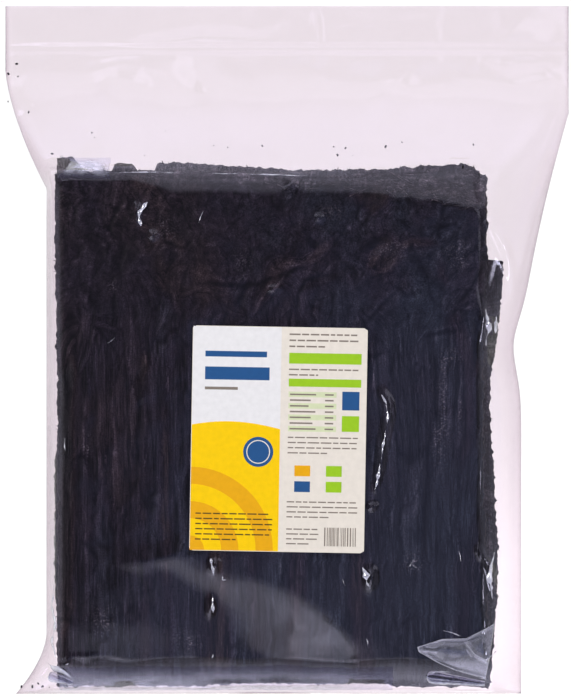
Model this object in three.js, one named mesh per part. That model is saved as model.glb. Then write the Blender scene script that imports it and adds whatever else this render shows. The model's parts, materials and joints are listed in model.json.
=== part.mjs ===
// A sealed clear film bag packed with pressed sheets of dried wakame, lying on its back with the label up.
// Millimetres: +X to the right of the face, +Y towards the empty header, +Z up from the floor.
import * as THREE from "three";

// The film tube: its width laid flat shows in the header, its length as the filled bag lies
const FLAT_WIDTH = 401;
const LENGTH = 488;
const TOP = LENGTH / 2;
const BOTTOM = -LENGTH / 2;
const SEAM_THICK = 1;

// The pressed sheets inside hold the face of the bag flat at this height
const FACE_HEIGHT = 48;
const FACE_FROM_Y = -224;
const FACE_TO_Y = 114;

// Side folds of the film beside the sheets, and the height at which each one lies
const LEFT_EDGE = -170;
const RIGHT_EDGE = 166;
const LEFT_EDGE_HEIGHT = 20;
const RIGHT_EDGE_HEIGHT = 14;
const LEFT_ROUNDING = 13;
const RIGHT_ROUNDING = 31;
const BACK_ROUNDING = 16;

// Shoulders, where the film opens out from the sheets to the flat header
const LEFT_SHOULDER = { from: 113, to: 199, power: 1.5 };
const RIGHT_SHOULDER = { from: 2, to: 168, power: 1.45 };
const SHOULDER_ROUNDING = 70;
const PINCH = { y: 2, half: 26, depth: 5.5 };

// Header, lying on the floor past the sheets, with one welded band across it
const HEADER_FROM_Y = 206;
const HEADER_THICK = 2.4;
const HEADER_EDGE_HEIGHT = 1;
const WELD = { y: 213.5, half: 3, height: 0.6 };

// Bottom seal, and the film corner that sticks out beside it on the left
const SEAL_HEIGHT = 15;
const SEAL_REACH = 40;
const SEAL_LIFT = 15;
const CORNER_EAR = { reach: 44, out: 22, power: 1.7 };

// Long soft folds in the film, each a ridge along a line from one point to another
const FOLDS = [
  { from: [142, 40], to: [190, 160], half: 5, height: 4 },
  { from: [120, 124], to: [176, 190], half: 7, height: 3 },
  { from: [-150, 126], to: [-186, 176], half: 6, height: 3 },
  { from: [-60, 132], to: [-20, 205], half: 9, height: 2.5 },
  { from: [60, 130], to: [28, 204], half: 9, height: 2.5 },
];

// Paper label on the face, turned a little as it was stuck on
const LABEL = { width: 122, height: 157, corner: 1.5, thick: 0.4 };
const LABEL_CENTRE = { x: -6, y: -63 };
const LABEL_TURN = THREE.MathUtils.degToRad(-1);
const LABEL_GAP = 0.3;

// Grid lines of the bag: across the film and along it
const COLUMNS = 34;
const ROWS = 46;

const { clamp, lerp, smoothstep } = THREE.MathUtils;

// A quarter round: 0 at the edge with an upright start, 1 and level once the reach is passed
function roundOver(distance, reach) {
  const short = 1 - clamp(distance / reach, 0, 1);
  return Math.sqrt(1 - short * short);
}

// How far the film has opened out from the sheets at y: 0 beside them, 1 in the flat header
function opened(shoulder, y) {
  return clamp((y - shoulder.from) / (shoulder.to - shoulder.from), 0, 1);
}

function leftEdge(y) {
  const out = 1 - (1 - opened(LEFT_SHOULDER, y)) ** LEFT_SHOULDER.power;
  const ear = clamp((BOTTOM + CORNER_EAR.reach - y) / CORNER_EAR.reach, 0, 1);
  return lerp(LEFT_EDGE, -FLAT_WIDTH / 2, out) - CORNER_EAR.out * ear ** CORNER_EAR.power;
}

function rightEdge(y) {
  const out = opened(RIGHT_SHOULDER, y) ** RIGHT_SHOULDER.power;
  const pinch = PINCH.depth * Math.exp(-(((y - PINCH.y) / PINCH.half) ** 2)) * (1 - out);
  return lerp(RIGHT_EDGE, FLAT_WIDTH / 2, out) - pinch;
}

// Height of the top of the film's rim, from the bottom seal past the sheets to the header
function rimHeight(bodyHeight, y) {
  const lower = lerp(SEAL_HEIGHT, bodyHeight, smoothstep(y, BOTTOM, BOTTOM + SEAL_REACH));
  return lerp(lower, HEADER_EDGE_HEIGHT, smoothstep(y, FACE_TO_Y - 30, HEADER_FROM_Y));
}

// Height of the face along the middle of the bag
function spineHeight(y) {
  const lower = lerp(SEAL_HEIGHT, FACE_HEIGHT, roundOver(y - BOTTOM, FACE_FROM_Y - BOTTOM));
  return lerp(lower, HEADER_THICK, smoothstep(y, FACE_TO_Y, HEADER_FROM_Y));
}

// How far each side fold has opened into the header, which sets how soft its rounding is
function sideRounding(bodyRounding, y) {
  return lerp(bodyRounding, SHOULDER_ROUNDING, smoothstep(y, FACE_TO_Y - 50, HEADER_FROM_Y - 30));
}

// Height of one soft fold at a point: a ridge that fades out at both ends of its line
function foldHeight(fold, x, y) {
  const along = new THREE.Vector2(fold.to[0] - fold.from[0], fold.to[1] - fold.from[1]);
  const offset = new THREE.Vector2(x - fold.from[0], y - fold.from[1]);
  const t = offset.dot(along) / along.lengthSq();
  const aside = Math.abs(offset.cross(along)) / along.length();
  const fade = Math.sin(Math.PI * clamp(t, 0, 1));
  return fold.height * fade * Math.exp(-((aside / fold.half) ** 2));
}

function faceHeight(x, y) {
  const left = x - leftEdge(y);
  const right = rightEdge(y) - x;
  const share = left / (left + right);
  const rim = lerp(rimHeight(LEFT_EDGE_HEIGHT, y), rimHeight(RIGHT_EDGE_HEIGHT, y), share);
  const across =
    roundOver(left, sideRounding(LEFT_ROUNDING, y)) * roundOver(right, sideRounding(RIGHT_ROUNDING, y));
  const folds = FOLDS.reduce((sum, fold) => sum + foldHeight(fold, x, y), 0);
  const weld = WELD.height * Math.exp(-(((y - WELD.y) / WELD.half) ** 4));
  return lerp(rim, spineHeight(y), across) + (folds + weld) * across;
}

// Height of the back, which lies on the floor and lifts at its side folds and at the bottom seal
function backHeight(x, y) {
  const left = x - leftEdge(y);
  const right = rightEdge(y) - x;
  const leftLift = (rimHeight(LEFT_EDGE_HEIGHT, y) - SEAM_THICK) * (1 - roundOver(left, BACK_ROUNDING));
  const rightLift = (rimHeight(RIGHT_EDGE_HEIGHT, y) - SEAM_THICK) * (1 - roundOver(right, BACK_ROUNDING));
  const sealLift = (SEAL_HEIGHT - SEAM_THICK) * (1 - roundOver(y - BOTTOM, SEAL_LIFT));
  return Math.max(leftLift, rightLift, sealLift);
}

// Grid share from 0 to 1 with its lines drawn closer together near both ends
function crowded(share) {
  return (1 - Math.cos(Math.PI * share)) / 2;
}

// A box with many grid lines on its two large faces, moved into the form of the filled bag
function bagGeometry() {
  const geometry = new THREE.BoxGeometry(1, 1, 1, COLUMNS, ROWS, 1);
  const points = geometry.getAttribute("position");
  for (let i = 0; i < points.count; i += 1) {
    const y = lerp(BOTTOM, TOP, crowded(points.getY(i) + 0.5));
    const x = lerp(leftEdge(y), rightEdge(y), crowded(points.getX(i) + 0.5));
    points.setXYZ(i, x, y, points.getZ(i) > 0 ? faceHeight(x, y) : backHeight(x, y));
  }
  return geometry;
}

// A flat sheet of paper with small round corners
function labelGeometry() {
  const halfWidth = LABEL.width / 2;
  const halfHeight = LABEL.height / 2;
  const r = LABEL.corner;
  const outline = new THREE.Shape();
  outline.moveTo(-halfWidth + r, -halfHeight);
  outline.lineTo(halfWidth - r, -halfHeight);
  outline.absarc(halfWidth - r, -halfHeight + r, r, -Math.PI / 2, 0, false);
  outline.lineTo(halfWidth, halfHeight - r);
  outline.absarc(halfWidth - r, halfHeight - r, r, 0, Math.PI / 2, false);
  outline.lineTo(-halfWidth + r, halfHeight);
  outline.absarc(-halfWidth + r, halfHeight - r, r, Math.PI / 2, Math.PI, false);
  outline.lineTo(-halfWidth, -halfHeight + r);
  outline.absarc(-halfWidth + r, -halfHeight + r, r, Math.PI, 1.5 * Math.PI, false);
  return new THREE.ExtrudeGeometry(outline, { depth: LABEL.thick, bevelEnabled: false, curveSegments: 4 });
}

// One named piece of the part with its own material
function piece(name, geometry, look) {
  const mesh = new THREE.Mesh(geometry, new THREE.MeshStandardMaterial(look));
  mesh.name = name;
  return mesh;
}

const bag = piece("bag", bagGeometry(), { color: 0x2b2932, roughness: 0.3, metalness: 0 });
const label = piece("label", labelGeometry(), { color: 0xefe9e2, roughness: 0.5, metalness: 0 });
label.rotation.z = LABEL_TURN;
label.position.set(LABEL_CENTRE.x, LABEL_CENTRE.y, FACE_HEIGHT + LABEL_GAP);

const pack = new THREE.Group();
pack.name = "wakame_bag";
pack.add(bag, label);

export default pack;
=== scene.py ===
"""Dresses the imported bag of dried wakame: clear film, pressed sheets of fronds, crumbs and a label."""

import json
import math
from dataclasses import dataclass
from functools import lru_cache, partial
from itertools import combinations

import bpy
import numpy as np
from bpy.props import FloatProperty, FloatVectorProperty, IntProperty, PointerProperty
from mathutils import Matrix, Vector
from mathutils.bvhtree import BVHTree
from mathutils.geometry import delaunay_2d_cdt

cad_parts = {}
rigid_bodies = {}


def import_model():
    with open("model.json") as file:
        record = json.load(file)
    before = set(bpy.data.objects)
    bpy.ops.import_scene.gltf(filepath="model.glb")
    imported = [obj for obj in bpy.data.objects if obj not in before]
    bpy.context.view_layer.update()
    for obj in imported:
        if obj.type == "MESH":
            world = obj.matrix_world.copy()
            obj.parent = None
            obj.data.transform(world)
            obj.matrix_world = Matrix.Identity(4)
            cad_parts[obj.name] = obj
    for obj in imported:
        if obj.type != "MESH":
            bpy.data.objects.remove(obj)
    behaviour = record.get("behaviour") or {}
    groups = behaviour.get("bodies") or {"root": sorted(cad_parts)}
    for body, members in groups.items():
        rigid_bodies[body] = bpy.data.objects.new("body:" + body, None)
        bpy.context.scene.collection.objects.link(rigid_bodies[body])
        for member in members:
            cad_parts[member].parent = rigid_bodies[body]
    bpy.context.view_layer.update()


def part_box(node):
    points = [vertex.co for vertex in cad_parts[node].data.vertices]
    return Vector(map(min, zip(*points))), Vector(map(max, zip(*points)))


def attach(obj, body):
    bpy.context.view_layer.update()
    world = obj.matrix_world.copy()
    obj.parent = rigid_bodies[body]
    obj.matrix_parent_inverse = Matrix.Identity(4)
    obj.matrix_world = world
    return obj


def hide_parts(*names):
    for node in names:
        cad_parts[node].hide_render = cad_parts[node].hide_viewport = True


bl_info = {
    "name": "Dried Wakame Bag",
    "version": (1, 0, 0),
    "blender": (4, 5, 0),
    "location": "View3D > Sidebar > Wakame",
    "description": "Builds a clear film bag of pressed dried wakame sheets with a printed label",
    "category": "Object",
}

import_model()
BODY = "root"
MM = 0.001

# The bag in millimetres, as the CAD part has it: +X right of the face, +Y to the header, +Z up
BAG_LOW, BAG_HIGH = [np.array(corner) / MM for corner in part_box("bag")]
LABEL_LOW, LABEL_HIGH = [np.array(corner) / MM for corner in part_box("label")]
FLAT_HALF = BAG_HIGH[0]
TOP = BAG_HIGH[1]
BOTTOM = BAG_LOW[1]
# Gaps of the film under the label and over the floor, and the height of the film's face
LABEL_GAP = 0.3
BACK_LIFT = 0.25
FACE_HEIGHT = LABEL_LOW[2] - LABEL_GAP
# Side folds of the film: where they run beside the sheets, and their heights there, in the header and at the
# seal
LEFT_EDGE = -170.0
RIGHT_EDGE = 166.0
LEFT_RIM = 20.0
RIGHT_RIM = 14.0
HEADER_RIM = 1.0
SEAL_RIM = 13.0
# Up the pack: where the face is level from and to, where the film has come down, the header and its weld
FACE_FROM = -206.0
FACE_TO = 118.0
HEADER_FLAT = 180.0
HEADER_FROM = 206.0
WELD_Y = 213.5
# Thickness of the header, width of the flat seal at the bottom, and how far the film bulges just above it
HEADER_THICK = 2.0
SEAL_STRIP = 1.0
BOTTOM_KINK = 1.6
# How far in from the side folds the front film rounds off beside the sheets and in the header, and the back
# film beside the sheets and at the seal
LEFT_ROUND, RIGHT_ROUND, HEADER_ROUND = 13.0, 31.0, 70.0
LEFT_BACK_ROUND, RIGHT_BACK_ROUND, SEAL_BACK_ROUND = 11.0, 15.0, 13.0
# Shoulders of the film: where each starts up the pack, its length and how it bends
LEFT_SHOULDER = (113.0, 86.0, 1.5)
RIGHT_SHOULDER = (2.0, 166.0, 1.45)
# The ear at the bottom left corner: its length, how far it stands out and how it bends
EAR = (44.0, 22.0, 1.7)
# Depth and half length of the pinch where the right shoulder starts
PINCH = (5.5, 26.0)

# Heights of the stack: it starts just over the back film and ends under the front film
STACK_LOW = 1.0
FACE_SHEET_TOP = 46.0
FACE_SHEET_THICK = 3.0

# The reference picture's height in pixels, and the camera that looks straight down on the pack
PICTURE_HEIGHT = 694
CAMERA_HEIGHT = 2400.0
FLOOR_MM_PER_PIXEL = 0.712
SENSOR_MM = 36.0
CAMERA_OFFSET = (-1.1, 1.4)

SEED = 11


def linear(hex_colour):
    """An sRGB hex colour as linear red, green and blue."""
    parts = [int(hex_colour[i : i + 2], 16) / 255 for i in (0, 2, 4)]
    return tuple(c / 12.92 if c <= 0.04045 else ((c + 0.055) / 1.055) ** 2.4 for c in parts)


def colour_property(name, description, hex_colour):
    """A colour setting with its default given as sRGB hex."""
    return FloatVectorProperty(
        name=name, description=description, subtype="COLOR", min=0.0, max=1.0, default=linear(hex_colour)
    )


def length_property(name, description, millimetres):
    """A length setting with its default given in millimetres."""
    return FloatProperty(name=name, description=description, default=millimetres * MM, unit="LENGTH")


def count_property(name, description, default, lowest):
    """A whole-numbered setting."""
    return IntProperty(name=name, description=description, default=default, min=lowest)


class WakameSizes(bpy.types.PropertyGroup):
    """Sizes of the pack that a user would change."""

    relief_depth: length_property("Relief depth", "How deep the creases between pressed fronds are", 1.8)
    relief_step: length_property("Relief step", "Spacing of the mesh with the relief of the face sheet", 1.1)
    rim_spacing: length_property("Rim spacing", "Spacing of the points round the torn rim of a sheet", 2.0)
    film_columns: count_property("Film columns", "Grid lines across the front film", 250, 20)
    film_rows: count_property("Film rows", "Grid lines along the film", 290, 20)
    film_facet: length_property("Film facet", "Usual size of the flat facets between creases in the film", 30)
    label_thickness: length_property("Label thickness", "Thickness of the label paper", 0.22)
    fray_count: count_property("Frays", "Torn strands that stick out of the sheets", 620, 0)
    strand_count: count_property("Pale strands", "Pale strands across the top edge of the face", 130, 0)
    crumb_count: count_property("Crumbs", "Loose crumbs of wakame in the bag", 26, 0)


class WakameColours(bpy.types.PropertyGroup):
    """Colours of the pack that a user would change."""

    slate: colour_property("Slate", "Blue-black dried frond", "292F3A")
    purple: colour_property("Purple", "Purple-black dried frond", "2A2530")
    brown: colour_property("Brown", "Red-brown frond where it is thin", "332A2D")
    olive: colour_property("Olive", "Olive frond that kept some green", "2A2A2D")
    bloom: colour_property("Bloom", "Pale dust of salt and fibre on the ridges", "8A8490")
    film: colour_property("Film", "Tint of one layer of the clear film", "F5F0F3")
    film_edge: colour_property("Film edge", "Tint of the film where it is seen edge on", "DCD1D8")
    film_haze: colour_property("Film haze", "Light scattered in folded and stretched film", "E8E9FA")
    film_fold: colour_property("Folded film", "Light that passes film folded on itself", "F8F8FC")
    paper: colour_property("Paper", "Cream label paper", "DFD7CF")
    lilac: colour_property("Lilac", "Pale panel of the label", "E1DFE3")
    yellow: colour_property("Yellow", "Main field of the label", "F0C402")
    amber: colour_property("Amber", "Darker arcs on the yellow field", "E0A30F")
    lime: colour_property("Lime", "Bars of the label", "93BF22")
    pale_lime: colour_property("Pale lime", "Table rows of the label", "CDD4B0")
    blue: colour_property("Blue", "Disc and title bars of the label", "1F4D80")
    ink: colour_property("Ink", "Lines that stand for small print", "7D736B")
    dark_ink: colour_property("Dark ink", "Lines of small print on the yellow field", "4A3A14")
    floor: colour_property("Floor", "Plain pale floor", "F4F3F4")


def sizes():
    """The pack's size settings."""
    return bpy.context.scene.wakame_sizes


def colours():
    """The pack's colour settings."""
    return bpy.context.scene.wakame_colours


# Repeatable noise over arrays of places


def mix(a, b, share):
    """The value that lies that share of the way from a to b."""
    return a + (b - a) * share


def ramp(value, low, high):
    """0 up to low, 1 from high, and a smooth rise between them."""
    t = np.clip((value - low) / (high - low), 0.0, 1.0)
    return t * t * (3.0 - 2.0 * t)


def lattice(column, row, seed):
    """Repeatable values from -1 to 1 at whole-numbered places."""
    mixed = column.astype(np.int64) * 374761393 + row.astype(np.int64) * 668265263 + seed * 974634541
    mixed = (mixed ^ (mixed >> 13)) & 0xFFFFFFFF
    mixed = (mixed * 1274126177) & 0xFFFFFFFF
    mixed = mixed ^ (mixed >> 16)
    return mixed / 0x7FFFFFFF - 1.0


def noise(x, y, seed):
    """Smooth noise from about -1 to 1, with features about one unit apart."""
    x, y = np.broadcast_arrays(np.asarray(x, float), np.asarray(y, float))
    column = np.floor(x)
    row = np.floor(y)
    dx = x - column
    dy = y - row

    def corner(i, j):
        angle = math.pi * lattice(column + i, row + j, seed)
        return np.cos(angle) * (dx - i) + np.sin(angle) * (dy - j)

    fade_x = dx**3 * (dx * (dx * 6 - 15) + 10)
    fade_y = dy**3 * (dy * (dy * 6 - 15) + 10)
    near = mix(corner(0, 0), corner(1, 0), fade_x)
    far = mix(corner(0, 1), corner(1, 1), fade_x)
    return 1.5 * mix(near, far, fade_y)


def fractal(x, y, seed, octaves=3):
    """Noise summed over ever finer octaves."""
    return sum(noise(x * 2**k, y * 2**k, seed + k) / 2**k for k in range(octaves))


def creased(x, y, seed, octaves=2):
    """Noise with sharp ridges, from about -1 in its hollows to 1 on its ridges."""
    return sum((1.0 - 2.2 * np.abs(noise(x * 2**k, y * 2**k, seed + k))) / 2**k for k in range(octaves))


def peak(distance, half):
    """1 at no distance, falling off as a bell curve of that half width."""
    return np.exp(-((distance / half) ** 2))


def bell(x, y, middle_x, middle_y, half_x, half_y):
    """1 at a place, falling off round it as a bell curve with those half sizes."""
    return np.exp(-(((x - middle_x) / half_x) ** 2) - ((y - middle_y) / half_y) ** 2)


def blurred(grid, radius):
    """A grid smoothed by a bell curve that many cells wide, with its border repeated."""
    reach = int(math.ceil(2.5 * radius))
    weights = np.exp(-0.5 * (np.arange(-reach, reach + 1) / radius) ** 2)
    weights /= weights.sum()
    for axis in (0, 1):
        pad = [(reach, reach) if a == axis else (0, 0) for a in (0, 1)]
        wide = np.pad(grid, pad, mode="edge")
        count = grid.shape[axis]
        grid = sum(w * np.take(wide, np.arange(k, k + count), axis) for k, w in enumerate(weights))
    return grid


def sampled(grid, low, step, x, y):
    """A grid's values at places between its points, by straight interpolation."""
    column = np.clip((x - low[0]) / step, 0, grid.shape[1] - 1.001)
    row = np.clip((y - low[1]) / step, 0, grid.shape[0] - 1.001)
    i = column.astype(int)
    j = row.astype(int)
    s = column - i
    t = row - j
    return mix(mix(grid[j, i], grid[j, i + 1], s), mix(grid[j + 1, i], grid[j + 1, i + 1], s), t)


# Mesh pieces


def unit_grid(columns, rows):
    """Grids of shares across and along, both from 0 to 1."""
    return np.meshgrid(np.linspace(0, 1, columns), np.linspace(0, 1, rows))


def grid_faces(rows, columns, start=0):
    """Quads of a grid of points stored row by row, facing up when rows run to +Y."""
    index = start + np.arange(rows * columns).reshape(rows, columns)
    quads = [index[:-1, :-1], index[:-1, 1:], index[1:, 1:], index[1:, :-1]]
    return np.stack([q.ravel() for q in quads], 1).tolist()


def ring_faces(lower, upper):
    """Quads between two closed loops of point numbers of equal length."""
    after = np.roll(lower, -1)
    above = np.roll(upper, -1)
    return np.stack([lower, after, above, upper], 1).tolist()


def fan_faces(loop, centre):
    """Triangles from a closed loop of point numbers to one centre point."""
    return [[a, b, centre] for a, b in zip(loop, np.roll(loop, -1))]


def rim_loop(rows, columns):
    """Point numbers round the border of a grid stored row by row."""
    index = np.arange(rows * columns).reshape(rows, columns)
    return np.concatenate([index[0, :-1], index[:-1, -1], index[-1, :0:-1], index[:0:-1, 0]])


def two_sided(top, base):
    """Points and faces of a closed thin sheet from two grids of places, with the rim between them."""
    rows, columns = top.shape[:2]
    count = rows * columns
    rim = rim_loop(rows, columns)
    under = [face[::-1] for face in grid_faces(rows, columns, count)]
    points = np.concatenate([top.reshape(-1, 3), base.reshape(-1, 3)])
    return points, grid_faces(rows, columns) + under + ring_faces(rim + count, rim)


def joined(parts):
    """Points and faces of several meshes as those of one."""
    points = []
    faces = []
    for places, polygons in parts:
        faces += [[len(points) + number for number in polygon] for polygon in polygons]
        points += places.tolist()
    return points, faces


def placed(name, data, **settings):
    """An object of that data in the scene, with its settings."""
    made = bpy.data.objects.new(name, data)
    for key, value in settings.items():
        setattr(made, key, value)
    bpy.context.scene.collection.objects.link(made)
    return made


def piece(name, points, faces, materials, values=None, ink_of_face=None, smooth=True):
    """A mesh piece from points in millimetres, riding on the pack's one body."""
    mesh = bpy.data.meshes.new(name)
    mesh.from_pydata((np.asarray(points, float) * MM).tolist(), [], faces)
    for key, numbers in (values or {}).items():
        numbers = np.asarray(numbers, np.float32)
        vectors = numbers.ndim == 2
        layer = mesh.attributes.new(key, "FLOAT_VECTOR" if vectors else "FLOAT", "POINT")
        layer.data.foreach_set("vector" if vectors else "value", numbers.ravel())
    for material in materials:
        mesh.materials.append(material)
    if ink_of_face is not None:
        mesh.polygons.foreach_set("material_index", ink_of_face)
    mesh.polygons.foreach_set("use_smooth", [smooth] * len(mesh.polygons))
    mesh.validate()
    made = placed(name, mesh)
    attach(made, BODY)
    return made


# The outline of the film and of the three bundles of sheets inside it


def left_edge(y):
    """Left fold of the film: straight beside the sheets, out at the header and at the bottom corner."""
    start, length, bend = LEFT_SHOULDER
    opened = np.clip((y - start) / length, 0.0, 1.0)
    ear_length, ear_width, ear_bend = EAR
    ear = np.clip((BOTTOM + ear_length - y) / ear_length, 0.0, 1.0)
    return mix(LEFT_EDGE, -FLAT_HALF, 1.0 - (1.0 - opened) ** bend) - ear_width * ear**ear_bend


def right_edge(y):
    """Right fold of the film, pinched in where the long shoulder starts."""
    start, length, bend = RIGHT_SHOULDER
    out = np.clip((y - start) / length, 0.0, 1.0) ** bend
    depth, half = PINCH
    return mix(RIGHT_EDGE, FLAT_HALF, out) - depth * peak(y - start, half) * (1.0 - out)


@dataclass(frozen=True)
class Bundle:
    """A bundle of pressed sheets: its heights, and each edge as a few (place along, place) pairs."""

    name: str
    low: float
    high: float
    count: int
    left: tuple
    right: tuple
    bottom: tuple
    top: tuple

    def edge(self, side, along):
        """Where one edge of the bundle lies at places along it."""
        pairs = np.array(getattr(self, side), float)
        return np.interp(along, pairs[:, 0], pairs[:, 1])

    def covers(self, x, y, grow):
        """Whether places lie inside the bundle's outline, grown by a margin."""
        across = (x > self.edge("left", y) - grow) & (x < self.edge("right", y) + grow)
        return across & (y > self.edge("bottom", x) - grow) & (y < self.edge("top", x) + grow)


REAR = Bundle(
    name="wakame_rear_sheets",
    low=STACK_LOW,
    high=17.4,
    count=5,
    left=((-236, -161), (-60, -161), (132, -162)),
    right=((-236, 136), (60, 138), (127, 136)),
    bottom=((-163, -236), (140, -236)),
    top=(
        (-162, 135), (-152, 135), (-150, 126), (-124, 126), (-122, 131), (-109, 130), (-106, 125),
        (-94, 125), (-91, 132), (-40, 129), (4, 126), (136, 124),
    ),
)
MIDDLE = Bundle(
    name="wakame_middle_sheets",
    low=REAR.high,
    high=33.6,
    count=5,
    left=((-237, -161), (-190, -161), (-160, -163), (-80, -163), (-55, -160), (116, -160)),
    right=(
        (-237, 142), (-190, 146), (-140, 148), (-95, 145), (-55, 142), (-25, 142), (10, 147), (45, 151),
        (62.5, 151), (63.5, 134), (116, 133),
    ),
    bottom=((-166, -236.5), (-60, -236.5), (-40, -233), (60, -233), (76, -236.5), (150, -237)),
    top=((-163, 116), (133, 116)),
)
FRONT = Bundle(
    name="wakame_front_sheets",
    low=MIDDLE.high,
    high=FACE_SHEET_TOP - FACE_SHEET_THICK,
    count=3,
    left=((-234, -160), (-60, -160), (0, -160.5), (60, -161.5), (122, -162)),
    right=((-234, 142), (-100, 137), (0, 137), (62, 139), (122, 139)),
    bottom=((-166, -234), (142, -234)),
    top=((-161, 122), (-90, 124), (10, 124), (60, 125), (124, 129), (131, 127), (134, 123), (139, 122)),
)


def torn(along, seed, depth):
    """How far a torn edge stands out: nearly straight, with small teeth and a few blunt frond ends."""
    blunt = lattice(np.floor(along / 9.0 + 0.6 * noise(along / 30.0, 0.5, seed)), np.zeros_like(along), seed)
    teeth = 0.9 * noise(along / 5.2, 3.5, seed + 1) + 0.9 * noise(along / 2.3, 7.5, seed + 2)
    return depth * (0.45 * blunt + teeth)


def outline(bundle, seed, depth, spacing):
    """Points round a sheet of a bundle, counter-clockwise from its bottom left corner, with torn edges."""
    low = bundle.bottom[0][1]
    high = bundle.top[0][1]
    x = np.arange(bundle.edge("left", low), bundle.edge("right", low), spacing)
    runs = [np.stack([x, bundle.edge("bottom", x) - torn(x, seed, depth)], 1)]
    y = np.arange(low, bundle.top[-1][1], spacing)
    runs.append(np.stack([bundle.edge("right", y) + torn(y, seed + 10, depth), y], 1))
    x = np.arange(bundle.top[-1][0], bundle.edge("left", high), -spacing)
    runs.append(np.stack([x, bundle.edge("top", x) + torn(x, seed + 20, depth)], 1))
    y = np.arange(high, low, -spacing)
    runs.append(np.stack([bundle.edge("left", y) - torn(y, seed + 30, 0.7 * depth), y], 1))
    return np.concatenate(runs)


# The relief of the face sheet: fronds laid over each other and pressed flat


@dataclass(frozen=True)
class Frond:
    """One frond in the face sheet: middle, turn from +Y in radians, length, half width, bow and looks."""

    x: float
    y: float
    turn: float
    length: float
    half: float
    bow: float
    thick: float
    tint: float
    seed: int


# Corners of the relief grid, and tints on the scale of the frond material
RELIEF_LOW = (-174.0, -240.0)
RELIEF_HIGH = (158.0, 136.0)
TINT_SLATE, TINT_PURPLE, TINT_BROWN, TINT_OLIVE = 0.1, 0.4, 0.7, 1.0


def random_tint(draw, x, y):
    """A frond's tint: slate is common low and to the right, purple high and to the left, others anywhere."""
    # Slate, the lighter tint, is common low and to the right: partly the fronds' colour, partly painted light
    slate = 0.55 + 0.55 * x / 160.0 - 0.3 * y / 130.0
    roll = draw.random()
    if roll < 0.07:
        return TINT_OLIVE
    if roll < 0.2:
        return TINT_BROWN
    return TINT_SLATE if draw.random() < slate else TINT_PURPLE


def face_fronds():
    """The fronds of the face sheet from the lowest to the one on top."""
    draw = np.random.default_rng(SEED)
    fronds = []

    def lay(x, y, turn, length, half, bow, thick, tint=None):
        shade = random_tint(draw, x, y) if tint is None else tint
        fronds.append(Frond(x, y, math.radians(turn), length, half, bow, thick, shade, 100 + len(fronds)))

    def shape(spread, lengths, halves, bow):
        return draw.normal(0, spread), draw.uniform(*lengths), draw.uniform(*halves), draw.normal(0, bow)

    # Long fronds side by side, then shorter ones that run down the pack, then crumpled ones near the top
    for x in np.arange(-164, 150, 13):
        y = draw.uniform(-160, 0)
        lay(x, y, *shape(1, (240, 420), (9, 17), 3), 0.18)
    for _ in range(46):
        x = draw.uniform(-160, 140)
        y = draw.uniform(-225, 0)
        lay(x, y, *shape(1.6, (90, 260), (4, 13), 3), draw.uniform(0.1, 0.22))
    for _ in range(44):
        x = draw.uniform(-160, 140)
        y = draw.uniform(5, 125)
        lay(x, y, *shape(32, (30, 95), (4, 12), 12), draw.uniform(0.15, 0.35))
    # Single fronds that stand out in the picture
    lay(3, 58, 48, 82, 7, 8, 0.45, TINT_BROWN)
    lay(36, 24, 6, 74, 17, -6, 0.45, TINT_SLATE)
    lay(-138, 92, 10, 34, 11, 0, 0.4, TINT_SLATE)
    lay(126, 42, 27, 62, 11, -5, 0.5, TINT_PURPLE)
    lay(112, -58, 1, 150, 10, 3, 0.4, TINT_SLATE)
    lay(86, -70, -2, 190, 8, -4, 0.4, TINT_SLATE)
    lay(131, -140, 3, 70, 5, 2, 0.35, TINT_BROWN)
    return fronds


# Long creases in the crumpled part of the face: the line each follows and its half width
FACE_CREASES = (
    (((6, 22), (9, 40), (14, 48), (30, 52)), 1.3),
    (((138, 60), (128, 42), (120, 32), (114, 20)), 1.2),
    (((57, 17), (67, 30), (77, 40)), 1.1),
    (((95, 8), (108, 11), (124, 13)), 1.0),
    (((-89, 104), (-91, 90), (-85, 75), (-72, 70), (-66, 78)), 1.2),
    (((-148, 83), (-148, 99), (-143, 104), (-128, 103)), 1.0),
    (((-125, 81), (-119, 99), (-114, 105)), 1.1),
    (((-63, 47), (-35, 44), (-20, 45), (-2, 52), (16, 59)), 1.4),
)
# Hollows where the fronds leave a gap: middle, half sizes, turn in degrees and depth
FACE_HOLLOWS = (
    (-78, 88, 9, 16, 8, 2.2),
    (61, 75, 9, 3.5, -28, 1.8),
    (-118, 62, 4, 13, 20, 1.4),
    (18, 74, 5, 3, 40, 1.6),
    (92, 60, 4, 14, -35, 1.4),
    (-30, 40, 3, 12, 28, 1.2),
    (132, 4, 3, 22, 4, 1.6),
    (104, -30, 2.2, 26, -2, 1.3),
    (96, -120, 2.0, 34, 1, 1.1),
    (-104, -60, 2.2, 40, 2, 1.1),
)
# Patches where grains of salt and torn fibre lie on the fronds: middle and half sizes
SALT_PATCHES = (
    (106, -64, 6, 16), (115, -6, 7, 6), (109, -31, 2, 20), (121, -47, 1.6, 12), (104, -28, 2.5, 4),
    (-140, -67, 3, 9), (-84, 84, 7, 9), (-122, 44, 4, 5), (30, 96, 7, 4), (-30, 62, 6, 7), (74, 70, 9, 6),
    (-46, -130, 4, 8), (88, -150, 8, 6), (-130, -190, 10, 9), (-70, -205, 9, 7), (120, 66, 8, 9),
)


def drawn_along(grid, turn, reach):
    """A grid smeared along a field of directions, given as turns from +Y: grain that follows the fronds."""
    rows, columns = np.indices(grid.shape)
    total = grid.copy()
    for way in (1, -1):
        row = rows.astype(float)
        column = columns.astype(float)
        for _ in range(reach):
            heading = turn[row.astype(int), column.astype(int)]
            row = np.clip(row + way * np.cos(heading), 0, grid.shape[0] - 1)
            column = np.clip(column + way * np.sin(heading), 0, grid.shape[1] - 1)
            total += grid[row.astype(int), column.astype(int)]
    return total / total.std()


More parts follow.
